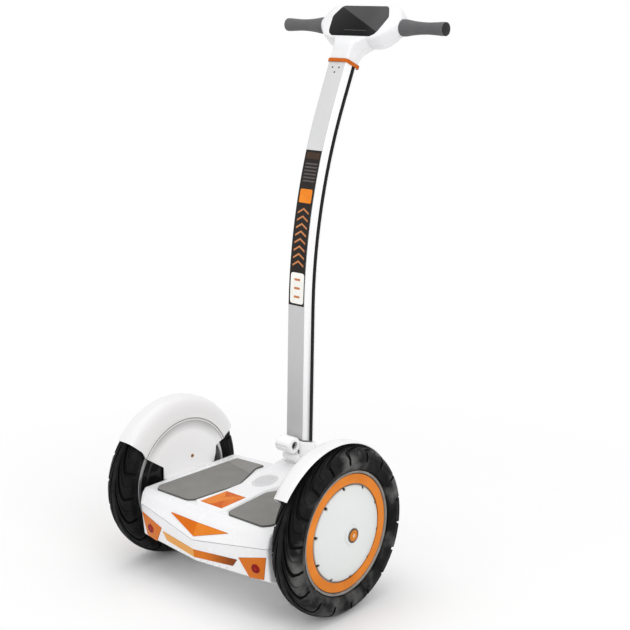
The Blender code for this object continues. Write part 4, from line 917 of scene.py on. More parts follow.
def on_side(sign, low, high):
    """A block given for the right side, built on the side that the sign tells."""
    low_x, high_x = sorted((sign * low[0], sign * high[0]))
    return block((low_x, *low[1:]), (high_x, *high[1:]))


def fender_shade(face):
    """The number of a face's finish, by its distance from the axle; greys are painted shade."""
    from_axle = math.hypot(face.center.y, face.center.z - WHEEL_R)
    if abs(face.center.x) > 0.21 or face.center.z < 0.1975:
        return 0
    if from_axle < 0.1352:
        return 1 if from_axle < 0.1334 else 3
    return 2 if 0.138 < from_axle < 0.1406 else 0


def cross_rod(radius, sign, near, far, y, z, steps):
    """A rod across the machine, between two distances from its middle."""
    return rod(radius, (sign * near, y, z), (sign * far, y, z), steps)


for side, sign in SIDES:
    skin = rough(moved(fender_mesh(sign), shift(0, 0, WHEEL_R)))
    wall(skin, 0.0025)
    shape(skin, on_side(sign, *WALL_TAB))
    shape(skin, on_side(sign, *TOP_TAB))
    cut(skin, cross_rod(0.013, sign, 0.18, 0.22, 0, WHEEL_R, 24))
    add_side(
        side, "moulded_fender", settle(skin), FENDER_FINISHES, "chassis", "white_shell", "fender",
        angle=28, rule=fender_shade,
    )
    head = cross_rod(0.0042, sign, 0.2056, 0.2078, SCREW_Y, SCREW_Z, 24)
    socket = cross_rod(0.0019, sign, 0.2028, 0.2064, SCREW_Y, SCREW_Z, 6)
    add_side(side, "fender_screw", edged(head, 0.0006, 2, socket), BRASS, "chassis", "steel")

# %% [markdown]
# ## Body shells
#
# The deck is two thin shells that meet on a line round the body: a cover and a tub,
# both pointed in the middle like a chevron. Their side views at the middle and at the
# flanks are joined by flat faces, every edge gets a real radius, and the skin gets a
# thickness. Both are then cut by the same folded surface, so that a fine seam is left.

# %% Body measures
HALF_WIDTH = 0.19
DECK_Z = 0.2035
SEAM = 0.0013
COVER_MIDDLE = [
    (-0.178, 0.147), (-0.156, 0.194), (-0.14, DECK_Z),
    (0.156, DECK_Z), (0.186, 0.193), (0.2, 0.16),
]
COVER_FLANK = [
    (-0.152, 0.171), (-0.146, 0.193), (-0.137, DECK_Z),
    (0.14, DECK_Z), (0.158, 0.193), (0.168, 0.171),
]
TUB_MIDDLE = [
    (-0.178, 0.147), (-0.1715, 0.099), (-0.15, 0.088),
    (0.17, 0.088), (0.191, 0.099), (0.2, 0.16),
]
TUB_FLANK = [
    (-0.152, 0.171), (-0.144, 0.0965), (-0.128, 0.088),
    (0.142, 0.088), (0.159, 0.0965), (0.168, 0.171),
]


def run_past(line, by=0.006):
    found = [Vector(point) for point in line]
    for end, inner in ((0, 1), (-1, -2)):
        found[end] += (found[end] - found[inner]).normalized() * by
    return found


def shell_skin(middle, flank, half_width):
    """The shell's outer faces: two side views of it, joined across, and both its ends."""
    bm = bmesh.new()
    middle, flank = run_past(middle), run_past(flank)
    columns = []
    for x, line in ((-half_width, flank), (0.0, middle), (half_width, flank)):
        columns.append([bm.verts.new((x, *point)) for point in line])
    for left, right in zip(columns, columns[1:]):
        for i in range(len(left) - 1):
            bm.faces.new((left[i], right[i], right[i + 1], left[i + 1]))
    bm.faces.new(columns[0])
    bm.faces.new(columns[-1][::-1])
    return mesh_from(bm)


def side_of_seam(far_z, by):
    rings = []
    for side in (-1.05, 0.0, 1.05):
        middle, flank = ((line[0][1], line[-1][1]) for line in (COVER_MIDDLE, COVER_FLANK))
        rear, front = (m + (f - m) * abs(side) + by for m, f in zip(middle, flank))
        seam = [(-0.3, rear), (-0.05, rear), (0.05, front), (0.3, front)]
        outline = [*seam, (0.3, far_z), (-0.3, far_z)]
        rings.append([(side * HALF_WIDTH, *point) for point in outline])
    bm = bmesh.new()
    bm.from_mesh(loft(rings))
    bmesh.ops.triangulate(bm, faces=bm.faces)
    return mesh_from(bm)


def rear_wall(middle, flank):
    """A function that tells where the rear wall is, for any x and z on it."""
    def wall_y(x, z):
        ends = []
        for (y_a, z_a), (y_b, z_b) in (middle[:2], flank[:2]):
            ends.append(y_a + (y_b - y_a) * (z - z_a) / (z_b - z_a))
        return ends[0] + (ends[1] - ends[0]) * abs(x) / HALF_WIDTH
    return wall_y


tub_y = rear_wall(TUB_MIDDLE, TUB_FLANK)
slope_y = rear_wall(COVER_MIDDLE, COVER_FLANK)
print("rear wall at y", round(tub_y(0.0, 0.12), 4), "in the middle")

# %% Raised middle of the deck
TUNNEL = [
    (-0.133, 0.03, 0.204, 0.201), (-0.122, 0.044, 0.2085, 0.201),
    (-0.045, 0.037, 0.2085, 0.201), (0.005, 0.034, 0.21, 0.201),
    (0.042, 0.045, 0.213, 0.201), (0.078, 0.044, 0.2165, 0.201),
    (0.1, 0.038, 0.2215, 0.201), (0.12, 0.034, 0.228, 0.201),
    (0.138, 0.034, 0.23, 0.2), (0.182, 0.033, 0.23, 0.19),
    (0.1915, 0.03, 0.224, 0.18), (0.193, 0.018, 0.195, 0.164),
]
tunnel_rings = []
for y, half, top, foot in TUNNEL:
    low = half + 0.6 * (top - foot)
    tunnel_rings.append([(-low, y, foot), (-half, y, top), (half, y, top), (low, y, foot)])
print("tunnel from", TUNNEL[0][0], "to", TUNNEL[-1][0])

# %% Inlays in the rear walls
TRIANGLE = (
    [(-0.085, 0.179), (0.0, 0.181), (0.085, 0.179)],
    [(-0.085, 0.179), (0.0, 0.1545), (0.085, 0.179)],
)
STRIP = (
    [(-0.111, 0.129), (0.0, 0.1245), (0.111, 0.129)],
    [(-0.098, 0.112), (0.0, 0.107), (0.098, 0.112)],
)
LAMP = ([(0.115, 0.135), (0.184, 0.152)], [(0.1385, 0.096), (0.1735, 0.0992)])
LENS_DEPTH, LENS_PROUD = 0.0016, 0.0012
REFLECTOR_R, REFLECTOR_AT = 0.01, (0.1562, 0.1208)


def inlay(tops, lows, wall_y, proud=LENS_PROUD, depth=LENS_DEPTH):
    """A solid lying in a rear wall, between an upper and a lower line of (x, z)."""
    rings = []
    for top, low in zip(tops, lows):
        corners = ((low, -proud), (top, -proud), (top, depth), (low, depth))
        rings.append([(x, wall_y(x, z) + by, z) for (x, z), by in corners])
    return loft(rings, flat=True, weld=True)


def pocket(tops, lows, wall_y):
    """The inlay's pocket: a little larger all round, and open to the outside."""
    middle = (tops[0][0] + tops[-1][0]) / 2
    lines = []
    for line, by_z in ((tops, 0.0005), (lows, -0.0005)):
        wider = [x if x == middle else x + math.copysign(0.0006, x - middle) for x, _ in line]
        lines.append([(x, z + by_z) for x, (_, z) in zip(wider, line)])
    return inlay(*lines, wall_y, 0.02, LENS_DEPTH + 0.0003)


def lamp_lines(sign):
    return [[(x * sign, z) for x, z in line][::sign] for line in LAMP]


print("lenses", 1000 * LENS_DEPTH, "mm deep")


# %% Mats, badge and grille in the deck
MAT_RIGHT = rounded([
    (0.05, -0.12), (0.062, -0.132), (0.155, -0.132), (0.168, -0.115),
    (0.158, 0.119), (0.077, 0.125), (0.079, 0.099), (0.053, 0.039), (0.038, 0.005),
], 0.006, 5)
MATS = {"right": MAT_RIGHT, "left": mirrored(MAT_RIGHT)}
POCKET_DEPTH = 0.0012
MAT_FLOOR = DECK_Z - POCKET_DEPTH
BADGE = [(-0.0315, -0.122), (-0.0285, -0.046), (0.0285, -0.046), (0.0315, -0.122)]
BADGE_FLOOR = 0.2085 - POCKET_DEPTH
GRILLE_X, GRILLE_Y = 0.0238, 0.0325
GRILLE_AT = 0.044
slope = 0.0035 / 0.036
grille_z = 0.213 + slope * (GRILLE_AT - 0.042) - POCKET_DEPTH
GRILLE_PLACE = shift(0, GRILLE_AT, grille_z) @ Matrix.Rotation(math.atan(slope), 4, "X")


def ellipse(half_x, half_y, steps=64):
    return [(x * half_x, y * half_y) for x, y in arc((0, 0), 1, 0, 360, steps)[:-1]]


def pocket_plate(outline, place):
    return moved(plate(outline, 0.02), place @ shift(0, 0, -0.0003))


print("mats", round(1000 * MAT_FLOOR, 1), "mm above the floor")


# %% Cover shell
EDGE, SHELL_WALL = 0.0045, 0.003
MAST_WINDOW = ((-0.0225, 0.1325, 0.205), (0.0225, 0.1775, 0.24))
FOOT_ROOM = ((-0.029, 0.1213, 0.17), (0.029, 0.1882, 0.2262))
NECK_SLOT = ((-0.012, 0.11, 0.195), (0.012, 0.122, 0.223))
SPEAKER_WELL = (0.02, (0, 0.05, 0.19), (0, 0.05, 0.222))


def outer_skin(middle, flank, half_width, far_z, seam_by):
    """A shell with round edges and a thickness, kept on one side of the seam."""
    skin = rough(shell_skin(middle, flank, half_width))
    bevel(skin, EDGE, 4, 12)
    wall(skin, SHELL_WALL)
    shape(skin, side_of_seam(far_z, seam_by), "INTERSECT")
    return skin


def axle_bore():
    return rod(0.0115, (-0.21, 0, WHEEL_R), (0.21, 0, WHEEL_R))


cover = outer_skin(COVER_MIDDLE, COVER_FLANK, HALF_WIDTH, 0.4, SEAM / 2)
bevel(shape(cover, loft(tunnel_rings)), 0.0026, 3, 20)
for outline, z in ((MATS["right"], MAT_FLOOR), (MATS["left"], MAT_FLOOR), (BADGE, BADGE_FLOOR)):
    cut(cover, pocket_plate(offset_line(outline, 0.0004), shift(0, 0, z)))
grille_pocket = pocket_plate(ellipse(GRILLE_X + 0.0006, GRILLE_Y + 0.0006), GRILLE_PLACE)
cut(cover, grille_pocket, rod(*SPEAKER_WELL), pocket(*TRIANGLE, slope_y))
cut(cover, *(block(*room) for room in (MAST_WINDOW, FOOT_ROOM, NECK_SLOT)), axle_bore())
cover_mesh = settle(cover)
add_piece("deck_cover_shell", cover_mesh, WHITE, "chassis", "white_shell", ["top_cover"], angle=22)

# %% Tub shell
TEETH_PITCH, GAP_HALF = 0.0165, 0.004
PORT_X, PORT_Z = 0.1, 0.13
HINGE_NOTCH = ((PORT_X - 0.0062, 0.1725, 0.14), (PORT_X + 0.0062, 0.2, 0.1515))


def port_rod(radius, from_y, to_y, steps):
    return rod(radius, (PORT_X, from_y, PORT_Z), (PORT_X, to_y, PORT_Z), steps)


tub = outer_skin(TUB_MIDDLE, TUB_FLANK, HALF_WIDTH - 0.001, -0.1, -SEAM / 2)
cut(tub, *(pocket(*lines, tub_y) for lines in (STRIP, lamp_lines(1), lamp_lines(-1))))
for x in (TEETH_PITCH * i for i in range(-5, 6)):
    low, high = (x - GAP_HALF, -0.2, 0.08), (x + GAP_HALF, -0.1695 + 0.145 * abs(x), 0.1045)
    cut(tub, edged(block(low, high), 0.0015, 2))
shape(tub, port_rod(0.02, 0.16, 0.1765, 40))
cut(tub, port_rod(0.0162, 0.1725, 0.2, 40), port_rod(0.0092, 0.15, 0.2, 32))
cut(tub, block(*HINGE_NOTCH), axle_bore())
tub_mesh = settle(tub)
add_piece("deck_tub_shell", tub_mesh, WHITE, "chassis", "white_shell", ["lower_shell"], angle=22)

# %% [markdown]
# ## Foot mats
#
# Each mat is a slab of warm grey rubber in its own pocket, with a soft upper edge and a
# grip pattern. The pattern is too fine for the mesh at this distance, so the shader
# makes it: two waves crossed at an angle, and a drift of lighter and darker rubber.
# The front third is a second, slightly paler pad, parted by a slanting groove.

# %% Mat rubber


def mat_rubber(name, first, second):
    made = Finish(name, Specular_IOR_Level=0.3)
    waves = []
    for turn in (0.6, -0.6):
        lined = made.node("Mapping", Vector=made.place, Rotation=(0.0, 0.0, turn)).outputs["Vector"]
        waves.append(made.node("TexWave", Vector=lined, Scale=110.0).outputs["Fac"])
    return made.done(
        made.drift(26.0, first, second, 4.0), made.uneven(180.0, 0.62, 0.8, 2.0),
        made.maths("MULTIPLY", *waves), 0.00012,
    )


# The third finish darkens the mat's sides and its groove: painted shade.
MAT_FINISHES = [
    mat_rubber("mat_warm_grey", (134, 133, 129), (126, 125, 121)),
    mat_rubber("mat_pale_grey", (146, 144, 140), (138, 136, 132)),
    moulded("mat_edge_painted_shade", (92, 92, 90), (82, 82, 80), (0.6, 0.75), specular=0.3),
]

# %% Lay the mats
GROOVE_FROM, GROOVE_TO = Vector((0.02, 0.052)), Vector((0.18, 0.092))
MAT_THICK = 0.005
groove_way = GROOVE_TO - GROOVE_FROM


def mat_shade(face):
    """Painted shade on the sides and in the groove, or one of the pads on either side of it."""
    x, y, z = face.center
    if face.normal.z < 0.9 or z < MAT_THICK - 0.0001:
        return 2
    return int(y > GROOVE_FROM.y + groove_way.y * (abs(x) - GROOVE_FROM.x) / groove_way.x)


for side, sign in SIDES:
    mat = rough(plate(MATS[side], MAT_THICK, 0.002, 4))
    middle = (GROOVE_FROM + GROOVE_TO) / 2
    turn = Matrix.Rotation(sign * math.atan2(groove_way.y, groove_way.x), 4, "Z")
    slot = block((-0.2, -0.0003, MAT_THICK - 0.0004), (0.2, 0.0003, 0.01))
    cut(mat, moved(slot, shift(sign * middle.x, middle.y, 0) @ turn))
    add_side(
        side, "foot_pad", settle(mat), MAT_FINISHES, "chassis", "mat_rubber", "mat",
        at=shift(0, 0, MAT_FLOOR), rule=mat_shade,
    )

# %% [markdown]
# ## Badge, grille and lamps
#
# The badge on the deck is a small relief of plain facets in three shades of orange,
# painted light and painted shade for the way each facet faces. The grille is a pierced
# oval over the speaker. The lamps and the strip in the rear wall are clear amber lenses:
# their front is smooth, and the shine comes from ridges behind it, which here are a fine
# relief under a clear coat. Real lenses are brighter where they face the light, so each
# facet has a painted shade of its own, and the strip darkens towards its right end as
# painted shade.

# %% Orange shades
# Three shades of one orange: painted light and painted shade by the way each facet faces.
ORANGE_LIT, ORANGE_HALF_LIT, ORANGE_SHADED = (
    moulded("orange_facet_painted_light_" + name, first, second, (0.24, 0.32), drift=40.0, specular=0.08)
    for name, first, second in (
        ("bright", (230, 132, 42), (223, 124, 32)), ("middle", (220, 112, 14), (212, 104, 8)),
        ("deep", (208, 96, 4), (200, 88, 1)),
    )
)

# %% Badge
BADGE_TOP = 0.002
CREASE = [(-0.001, -0.119), (0.006, -0.09), (-0.005, -0.076), (0.004, -0.049)]
bm = bmesh.new()
low = [bm.verts.new((*p, 0.0)) for p in BADGE]
high = [bm.verts.new((*p, BADGE_TOP - 0.0006)) for p in offset_line(BADGE, -0.0004)]
a, b, c, d = [bm.verts.new((*p, BADGE_TOP)) for p in CREASE]
bm.faces.new(low)
bridge(bm, low, high)
rear_left, front_left, front_right, rear_right = high
for corners, shade in (
    ((rear_left, a, rear_right), 2), ((rear_left, front_left, b), 0), ((rear_left, b, a), 0),
    ((rear_right, a, b), 2), ((front_left, c, b), 1), ((front_left, d, c), 2),
    ((front_left, front_right, d), 2), ((front_right, c, d), 1), ((front_right, b, c), 0),
    ((front_right, rear_right, b), 1),
):
    bm.faces.new(corners).material_index = shade
add_piece(
    "badge_relief", mesh_from(bm), [ORANGE_LIT, ORANGE_HALF_LIT, ORANGE_SHADED], "chassis", "orange_trim", ["deck_badge"],
    at=shift(0, 0, BADGE_FLOOR), angle=1,
)

# %% Grille
HOLES_ACROSS, HOLES_ALONG, HOLE_R = 0.0044, 0.004, 0.0011
GRILLE_GREY = moulded(
    "grille_pale_grey", (224, 224, 225), (216, 216, 218), (0.4, 0.55), drift=60.0,
)
grille = rough(plate(ellipse(GRILLE_X, GRILLE_Y), 0.002, 0.0005))
holes = []
for row in range(-6, 7):
    for column in range(-6, 7):
        x, y = HOLES_ACROSS * (column + 0.5 * (row % 2)), HOLES_ALONG * row
        if math.hypot(x / (GRILLE_X - 0.0045), y / (GRILLE_Y - 0.005)) < 1:
            holes.append(rod(HOLE_R, (x, y, -0.001), (x, y, 0.004), 10))
cut(grille, joined(holes))
add_piece(
    "pierced_grille", settle(grille), GRILLE_GREY, "chassis", "grille_grey", ["speaker_grille"],
    at=GRILLE_PLACE,
)
print("grille holes:", len(holes))

# %% Lens finishes


def lens(name, first, second, ridge_scale=500.0, shade_colour=None):
    """A clear lens over ridges. It can turn to a painted shade colour towards its right end."""
    made = Finish(name, Specular_IOR_Level=0.12, Coat_Weight=0.08, Coat_Roughness=0.05)
    ridges = made.node("TexVoronoi", Vector=made.place, Scale=ridge_scale).outputs["Distance"]
    colour = made.blend(made.between(ridges, start=0.0, end=0.6), first, second)
    if shade_colour:
        colour = made.blend(made.between(made.axis("X"), start=0.03, end=0.095), colour, shade_colour)
    return made.done(colour, made.uneven(60.0, 0.12, 0.24, 2.0), ridges, 0.0002)


# The strip's lighter left half and its darkening right end are painted light and painted shade.
LENS_LIT = lens("amber_lens_painted_light", (238, 178, 98), (226, 158, 74))
LENS_MIDDLE = lens("amber_lens", (224, 126, 40), (208, 108, 20))
LENS_SHADED_END = lens("amber_lens_painted_shade", (226, 126, 34), (210, 110, 20), shade_colour=(132, 62, 4))
RED_RING = lens("red_reflector", (186, 26, 10), (160, 14, 6), 700.0)
RED_DARK = lens("red_reflector_dark", (122, 8, 4), (100, 4, 2), 700.0)

# %% Rear triangle and light strip


def even_line(line, count=4):
    """The line with this many points on each side of the middle."""
    found = []
    for (xa, za), (xb, zb) in zip(line, line[1:]):
        shares = [k / count for k in range(count)]
        found += [(xa + (xb - xa) * share, za + (zb - za) * share) for share in shares]
    return found + [line[-1]]


# The triangle's two halves take a lighter and a darker orange: painted light and shade.
triangle = edged(inlay(*TRIANGLE, slope_y), 0.0005, 2)
add_piece(
    "rear_triangle_facets", triangle, [ORANGE_HALF_LIT, ORANGE_LIT], "chassis", "orange_trim",
    ["rear_triangle"], angle=10, rule=lambda face: int(face.center.x >= 0),
)
strip = edged(inlay(even_line(STRIP[0]), even_line(STRIP[1]), tub_y), 0.0005, 2)
add_piece(
    "light_strip_lens", strip, [LENS_LIT, LENS_SHADED_END], "chassis", "orange_lens",
    ["light_strip"], angle=10, rule=lambda face: int(face.center.x >= -0.001),
)

# %% Corner lamps with their reflectors
DARK_FROM_R, DARK_TO_R = 0.0046, 0.0078
REFLECTOR_SECTION = rounded([
    (0.0, 0.0), (REFLECTOR_R, 0.0), (REFLECTOR_R, 0.002), (0.0084, 0.0026),
    (0.007, 0.0019), (0.0048, 0.0019), (0.004, 0.0024), (0.0, 0.0026),
], 0.0004, closed=False)
for side, sign in SIDES:
    x, z = REFLECTOR_AT[0] * sign, REFLECTOR_AT[1]
    centre = Vector((x, tub_y(x, z), z))
    facing = Vector((0.145 * sign, -1.0, -0.1)).normalized()
    hole = rod(REFLECTOR_R + 0.0005, centre - facing * 0.0003, centre + facing * 0.02, 48)
    housing = edged(inlay(*lamp_lines(sign), tub_y), 0.0008, 3, hole)
    add_side(side, "corner_lamp", housing, LENS_MIDDLE, "chassis", "orange_lens", "lamp", angle=20)
    turn = facing.to_track_quat("Z", "Y").to_matrix().to_4x4()
    button = lathe(REFLECTOR_SECTION, 48, closed=False)
    add_side(
        side, "round_reflector", button, [RED_RING, RED_DARK], "chassis", "red_lens", "reflector",
        at=Matrix.Translation(centre) @ turn,
        rule=lambda face: int(DARK_FROM_R < face.center.xy.length < DARK_TO_R),
    )

# %% [markdown]
# ## Mast
#
# The mast is one extruded tube: straight at the foot, bent forward in a long curve and
# straight again at the top. Its section is carried along that path in fine steps. The
# rear face is painted grey and the flanks white, so each side of the section has its
# own finish. The greys are painted lighter higher up, as painted light. A black strip
# lies in a groove in each flank.

# %% Mast path
MAST_FOOT = (0.1405, 0.256)
MAST_BEND_Z, MAST_BEND_R, MAST_TOP_Z = 0.58, 1.17, 1.1085
LOWER_LEAN, UPPER_LEAN = math.radians(1.5), math.radians(24.0)
MAST_STRAIGHT = (MAST_BEND_Z - MAST_FOOT[1]) / math.cos(LOWER_LEAN)
MAST_BEND = MAST_BEND_R * (UPPER_LEAN - LOWER_LEAN)
BEND_STEPS = 24


def mast_place(distance):
    """A matrix on the mast: X across, Y from its rear face forward, Z along it."""
    y, z = MAST_FOOT
    lower = min(distance, MAST_STRAIGHT)
    lean = LOWER_LEAN + min(max(distance - MAST_STRAIGHT, 0.0), MAST_BEND) / MAST_BEND_R
    upper = max(distance - MAST_STRAIGHT - MAST_BEND, 0.0)
    y += lower * math.sin(LOWER_LEAN) + upper * math.sin(UPPER_LEAN)
    z += lower * math.cos(LOWER_LEAN) + upper * math.cos(UPPER_LEAN)
    y += MAST_BEND_R * (math.cos(LOWER_LEAN) - math.cos(lean))
    z += MAST_BEND_R * (math.sin(lean) - math.sin(LOWER_LEAN))
    return shift(0, y, z) @ Matrix.Rotation(-lean, 4, "X")


BEND_TOP = mast_place(MAST_STRAIGHT + MAST_BEND).translation.z
MAST_LENGTH = MAST_STRAIGHT + MAST_BEND + (MAST_TOP_Z - BEND_TOP) / math.cos(UPPER_LEAN)


def mast_stations(start, end):
    """Places between two lengths, close together only where the mast bends."""
    bends = [MAST_STRAIGHT + MAST_BEND * i / BEND_STEPS for i in range(BEND_STEPS + 1)]
    bends = [length for length in bends if start < length < end]
    return [mast_place(length) for length in (start, *bends, end)]


print("mast length", round(MAST_LENGTH, 4))

# %% Mast finishes


def painted_light_by_height(name, heights, low_tone, high_tone, gloss, **sockets):
    """A colour that turns from one tone to another between two heights, as painted light."""
    made = Finish(name, **sockets)
    height = made.between(made.axis("Z"), start=heights[0], end=heights[1])
    return made.done(
        made.blend(height, low_tone, high_tone), made.uneven(40.0, *gloss, stretch=(1, 1, 0.05)),
        made.noise(1500.0), 0.00001,
    )


# The rear face's grey is painted lighter towards the top, where the bent mast faces up: painted
# light.
MAST_GREY_PAINTED_LIGHT = painted_light_by_height(
    "mast_satin_grey_painted_light", (0.3, 1.05), (190, 190, 191), (208, 208, 209), (0.36, 0.46),
    Metallic=0.25, Coat_Weight=0.15, Coat_Roughness=0.2,
)
MAST_WHITE = moulded(
    "mast_gloss_white", (246, 246, 247), (244, 244, 245), (0.27, 0.31), drift=6.0, specular=0.4,
    Coat_Weight=0.1, Coat_Roughness=0.1,
)
# Beside the black strip the paint is silver at the foot; its turn to white higher up is painted
# light.
MAST_PALE_PAINTED_LIGHT, MAST_SILVER_PAINTED_LIGHT = (
    painted_light_by_height(name, (0.38, 0.62), low_tone, (245, 245, 246), (0.28, 0.36), Specular_IOR_Level=0.4)
    for name, low_tone in (("mast_pale_silver_painted_light", (222, 222, 223)), ("mast_silver_painted_light", (184, 184, 185)))
)
BLACK_STRIP = moulded(
    "mast_black_strip", (14, 14, 15), (8, 8, 9), (0.4, 0.5), drift=25.0, specular=0.15,
)
COLLAR_ORANGE = moulded(
    "collar_orange", (198, 100, 26), (184, 88, 16), (0.34, 0.42), drift=60.0, specular=0.1,
)
print("mast finishes ready")

# %% Mast tube
HALF_MAST, MAST_DEEP = 0.025, 0.044
REAR_ROUND, FRONT_ROUND = 0.004, 0.0105
GROOVE_REAR, GROOVE_FRONT, GROOVE_DEEP = 0.022, 0.033, 0.002
SILVER_FROM, SILVER_TURNS = 0.013, 0.0175
right_side = arc((HALF_MAST - REAR_ROUND, REAR_ROUND), REAR_ROUND, -90, 0, 5) + [
    (HALF_MAST, SILVER_FROM), (HALF_MAST, SILVER_TURNS),
    (HALF_MAST, GROOVE_REAR - 0.0005), (HALF_MAST - 0.0003, GROOVE_REAR),
    (HALF_MAST - GROOVE_DEEP, GROOVE_REAR), (HALF_MAST - GROOVE_DEEP, GROOVE_FRONT),
    (HALF_MAST - 0.0003, GROOVE_FRONT), (HALF_MAST, GROOVE_FRONT + 0.0002),
] + arc((HALF_MAST - FRONT_ROUND, MAST_DEEP - FRONT_ROUND), FRONT_ROUND, 0, 90, 8)
mast_outline = right_side + mirrored(right_side)


def mast_shade(x, y):
    """White, the rear face's grey, or one of the two greys beside the black strip."""
    if y < 0.0008:
        return 1
    if abs(x) < HALF_MAST - 0.0004 or not SILVER_FROM < y < GROOVE_REAR:
        return 0
    return 2 if y < SILVER_TURNS else 3


tube_mesh = sweep(mast_outline, mast_stations(0.0, MAST_LENGTH), capped=False)
for face in tube_mesh.polygons:
    corner = face.index % len(mast_outline)
    ends = Vector(mast_outline[corner]), Vector(mast_outline[(corner + 1) % len(mast_outline)])
    face.material_index = mast_shade(*(ends[0] + ends[1]) / 2)
tube = rough(tube_mesh)
wall(tube, 0.0025)
add_piece(
    "bent_mast_tube", settle(tube), [MAST_WHITE, MAST_GREY_PAINTED_LIGHT, MAST_PALE_PAINTED_LIGHT, MAST_SILVER_PAINTED_LIGHT], "mast",
    "mast_paint", ["mast_tube"], angle=25,
)

# %% Black strips and collar


def round_mast(start, end, sides, rear, front, radius=0.004, steps=5):
    """A bar between two lengths of the mast, wider than it by a gap on each side."""
    half, near, far = HALF_MAST + sides, -rear, MAST_DEEP + front
    right = arc((half - radius, near + radius), radius, -90, 0, steps)
    right += arc((half - radius, far - radius), radius, 0, 90, steps)
    return sweep(right + mirrored(right), [mast_place(start), mast_place(end)])


def mast_bore(below, above):
    """The mast's hollow, carried past its top end both ways."""
    return round_mast(MAST_LENGTH - below, MAST_LENGTH + above, -0.009, -0.008, -0.008)


for side, sign in SIDES:
    near, far = sign * (HALF_MAST - GROOVE_DEEP + 0.0003), sign * (HALF_MAST + 0.0003)
    rear, front = GROOVE_REAR + 0.0003, GROOVE_FRONT - 0.0003
    strip = rounded([(near, rear), (far, rear), (far, front), (near, front)], 0.0005, 2)
    strip = sweep(strip, mast_stations(0.019, MAST_LENGTH - 0.001))
    add_side(side, "flank_strip", strip, BLACK_STRIP, "mast", "black_plastic", "side_trim")
collar = edged(
    round_mast(MAST_LENGTH - 0.0036, MAST_LENGTH + 0.0044, 0.003, 0.003, 0.003, 0.0075, 6),
    0.0008, 3,
    round_mast(MAST_LENGTH - 0.02, MAST_LENGTH + 0.0003, 0.0006, 0.0006, 0.0006),
    mast_bore(0.02, 0.01),
)
add_piece("mast_collar", collar, COLLAR_ORANGE, "mast", "orange_trim", ["collar_ring"])

# %% [markdown]
# ## Label on the mast
#
# A printed panel runs down the rear face of the mast. It is a thin plate bent to the
# mast's curve: the drawing is flat, then cut across every few millimetres, and each
# point is carried to its place on the mast. The print is a plain pattern of blocks and
# chevrons in orange, grey and white on near black.

# %% Bend flat drawings onto the mast
LABEL_START, LABEL_END, LABEL_WIDE = 0.3325, 0.672, 0.044
CUT_STEP = 0.008


def on_mast(outline, thickness, lift):
    """A flat outline, X across and Y along, laid as a plate on the mast's rear face."""
    bm = bmesh.new()
    bm.from_mesh(plate(outline, thickness))
    ys = [v.co.y for v in bm.verts]
    for k in range(math.ceil(min(ys) / CUT_STEP), math.ceil(max(ys) / CUT_STEP)):
        everything = [*bm.verts, *bm.edges, *bm.faces]
        bmesh.ops.bisect_plane(
            bm, geom=everything, plane_co=(0, k * CUT_STEP, 0), plane_no=(0, 1, 0),
        )
    for vert in bm.verts:
        x, y, z = vert.co
        vert.co = mast_place(LABEL_START + y) @ Vector((x, -z - lift, 0))
    return mesh_from(bm)


def bar_shape(x, y, wide, high, lean=0.0, edge=0.0):
    """A four-sided block, its upper edge shifted sideways by the lean."""
    left, right, low, high = x - wide / 2, x + wide / 2, y - high / 2, y + high / 2
    points = [(left, low), (right, low), (right + lean, high), (left + lean, high)]
    return rounded(points, edge, 5) if edge else points


def chevron(y, half, rise, thick):
    low, high = y + thick, y + rise + thick
    return [(-half, y), (0, y + rise), (half, y), (half, low), (0, high), (-half, low)]


# %% Print the label
PRINT = {
    tone: moulded("label_" + name, first, second, (0.34, 0.42), drift=50.0, specular=0.2)
    for tone, name, first, second in (
        ("dark", "near_black", (24, 14, 9), (15, 9, 6)),
        ("brown", "brown", (66, 44, 26), (54, 36, 22)),
        ("grey", "grey", (92, 84, 82), (80, 72, 70)),
        ("orange", "orange", (240, 138, 24), (232, 128, 16)),
        ("amber", "amber", (206, 134, 84), (192, 120, 70)),
        ("white", "white", (250, 249, 245), (244, 242, 236)),
    )
}
length = LABEL_END - LABEL_START
marks = {
    "brown_print": ("brown", [bar_shape(0, length - 0.012, 0.037, 0.014)]),
    "grey_print": ("grey", [
        bar_shape(0, length - 0.03 - 0.0075 * k, 0.034, 0.0032, 0.002) for k in range(6)
    ]),
    "orange_print": ("orange", [bar_shape(0, length - 0.1, 0.034, 0.03, 0.0, 0.004)]),
    "amber_print": ("amber", [
        chevron(0.086 + 0.0163 * k, 0.0155, 0.0095, 0.0042) for k in range(8)
    ]),
    "white_print": ("white", [bar_shape(0.001, 0.0385, 0.038, 0.068, 0.0, 0.007)]),
    "dot_print": ("amber", [
        bar_shape(0.001, 0.0195 + 0.019 * k, 0.017, 0.005, 0.0, 0.0024) for k in range(3)
    ]),
}
base = on_mast(bar_shape(0, length / 2, LABEL_WIDE, length), 0.0003, 0.00005)
add_piece("label_panel", base, PRINT["dark"], "mast", "display_black")
for name, (tone, shapes) in marks.items():
    lift, slot = (0.00047, "orange_trim") if name == "dot_print" else (0.00036, "display_black")
    printed = joined(on_mast(outline, 0.0001, lift) for outline in shapes)
    add_piece("label_" + name, printed, PRINT[tone], "mast", slot)

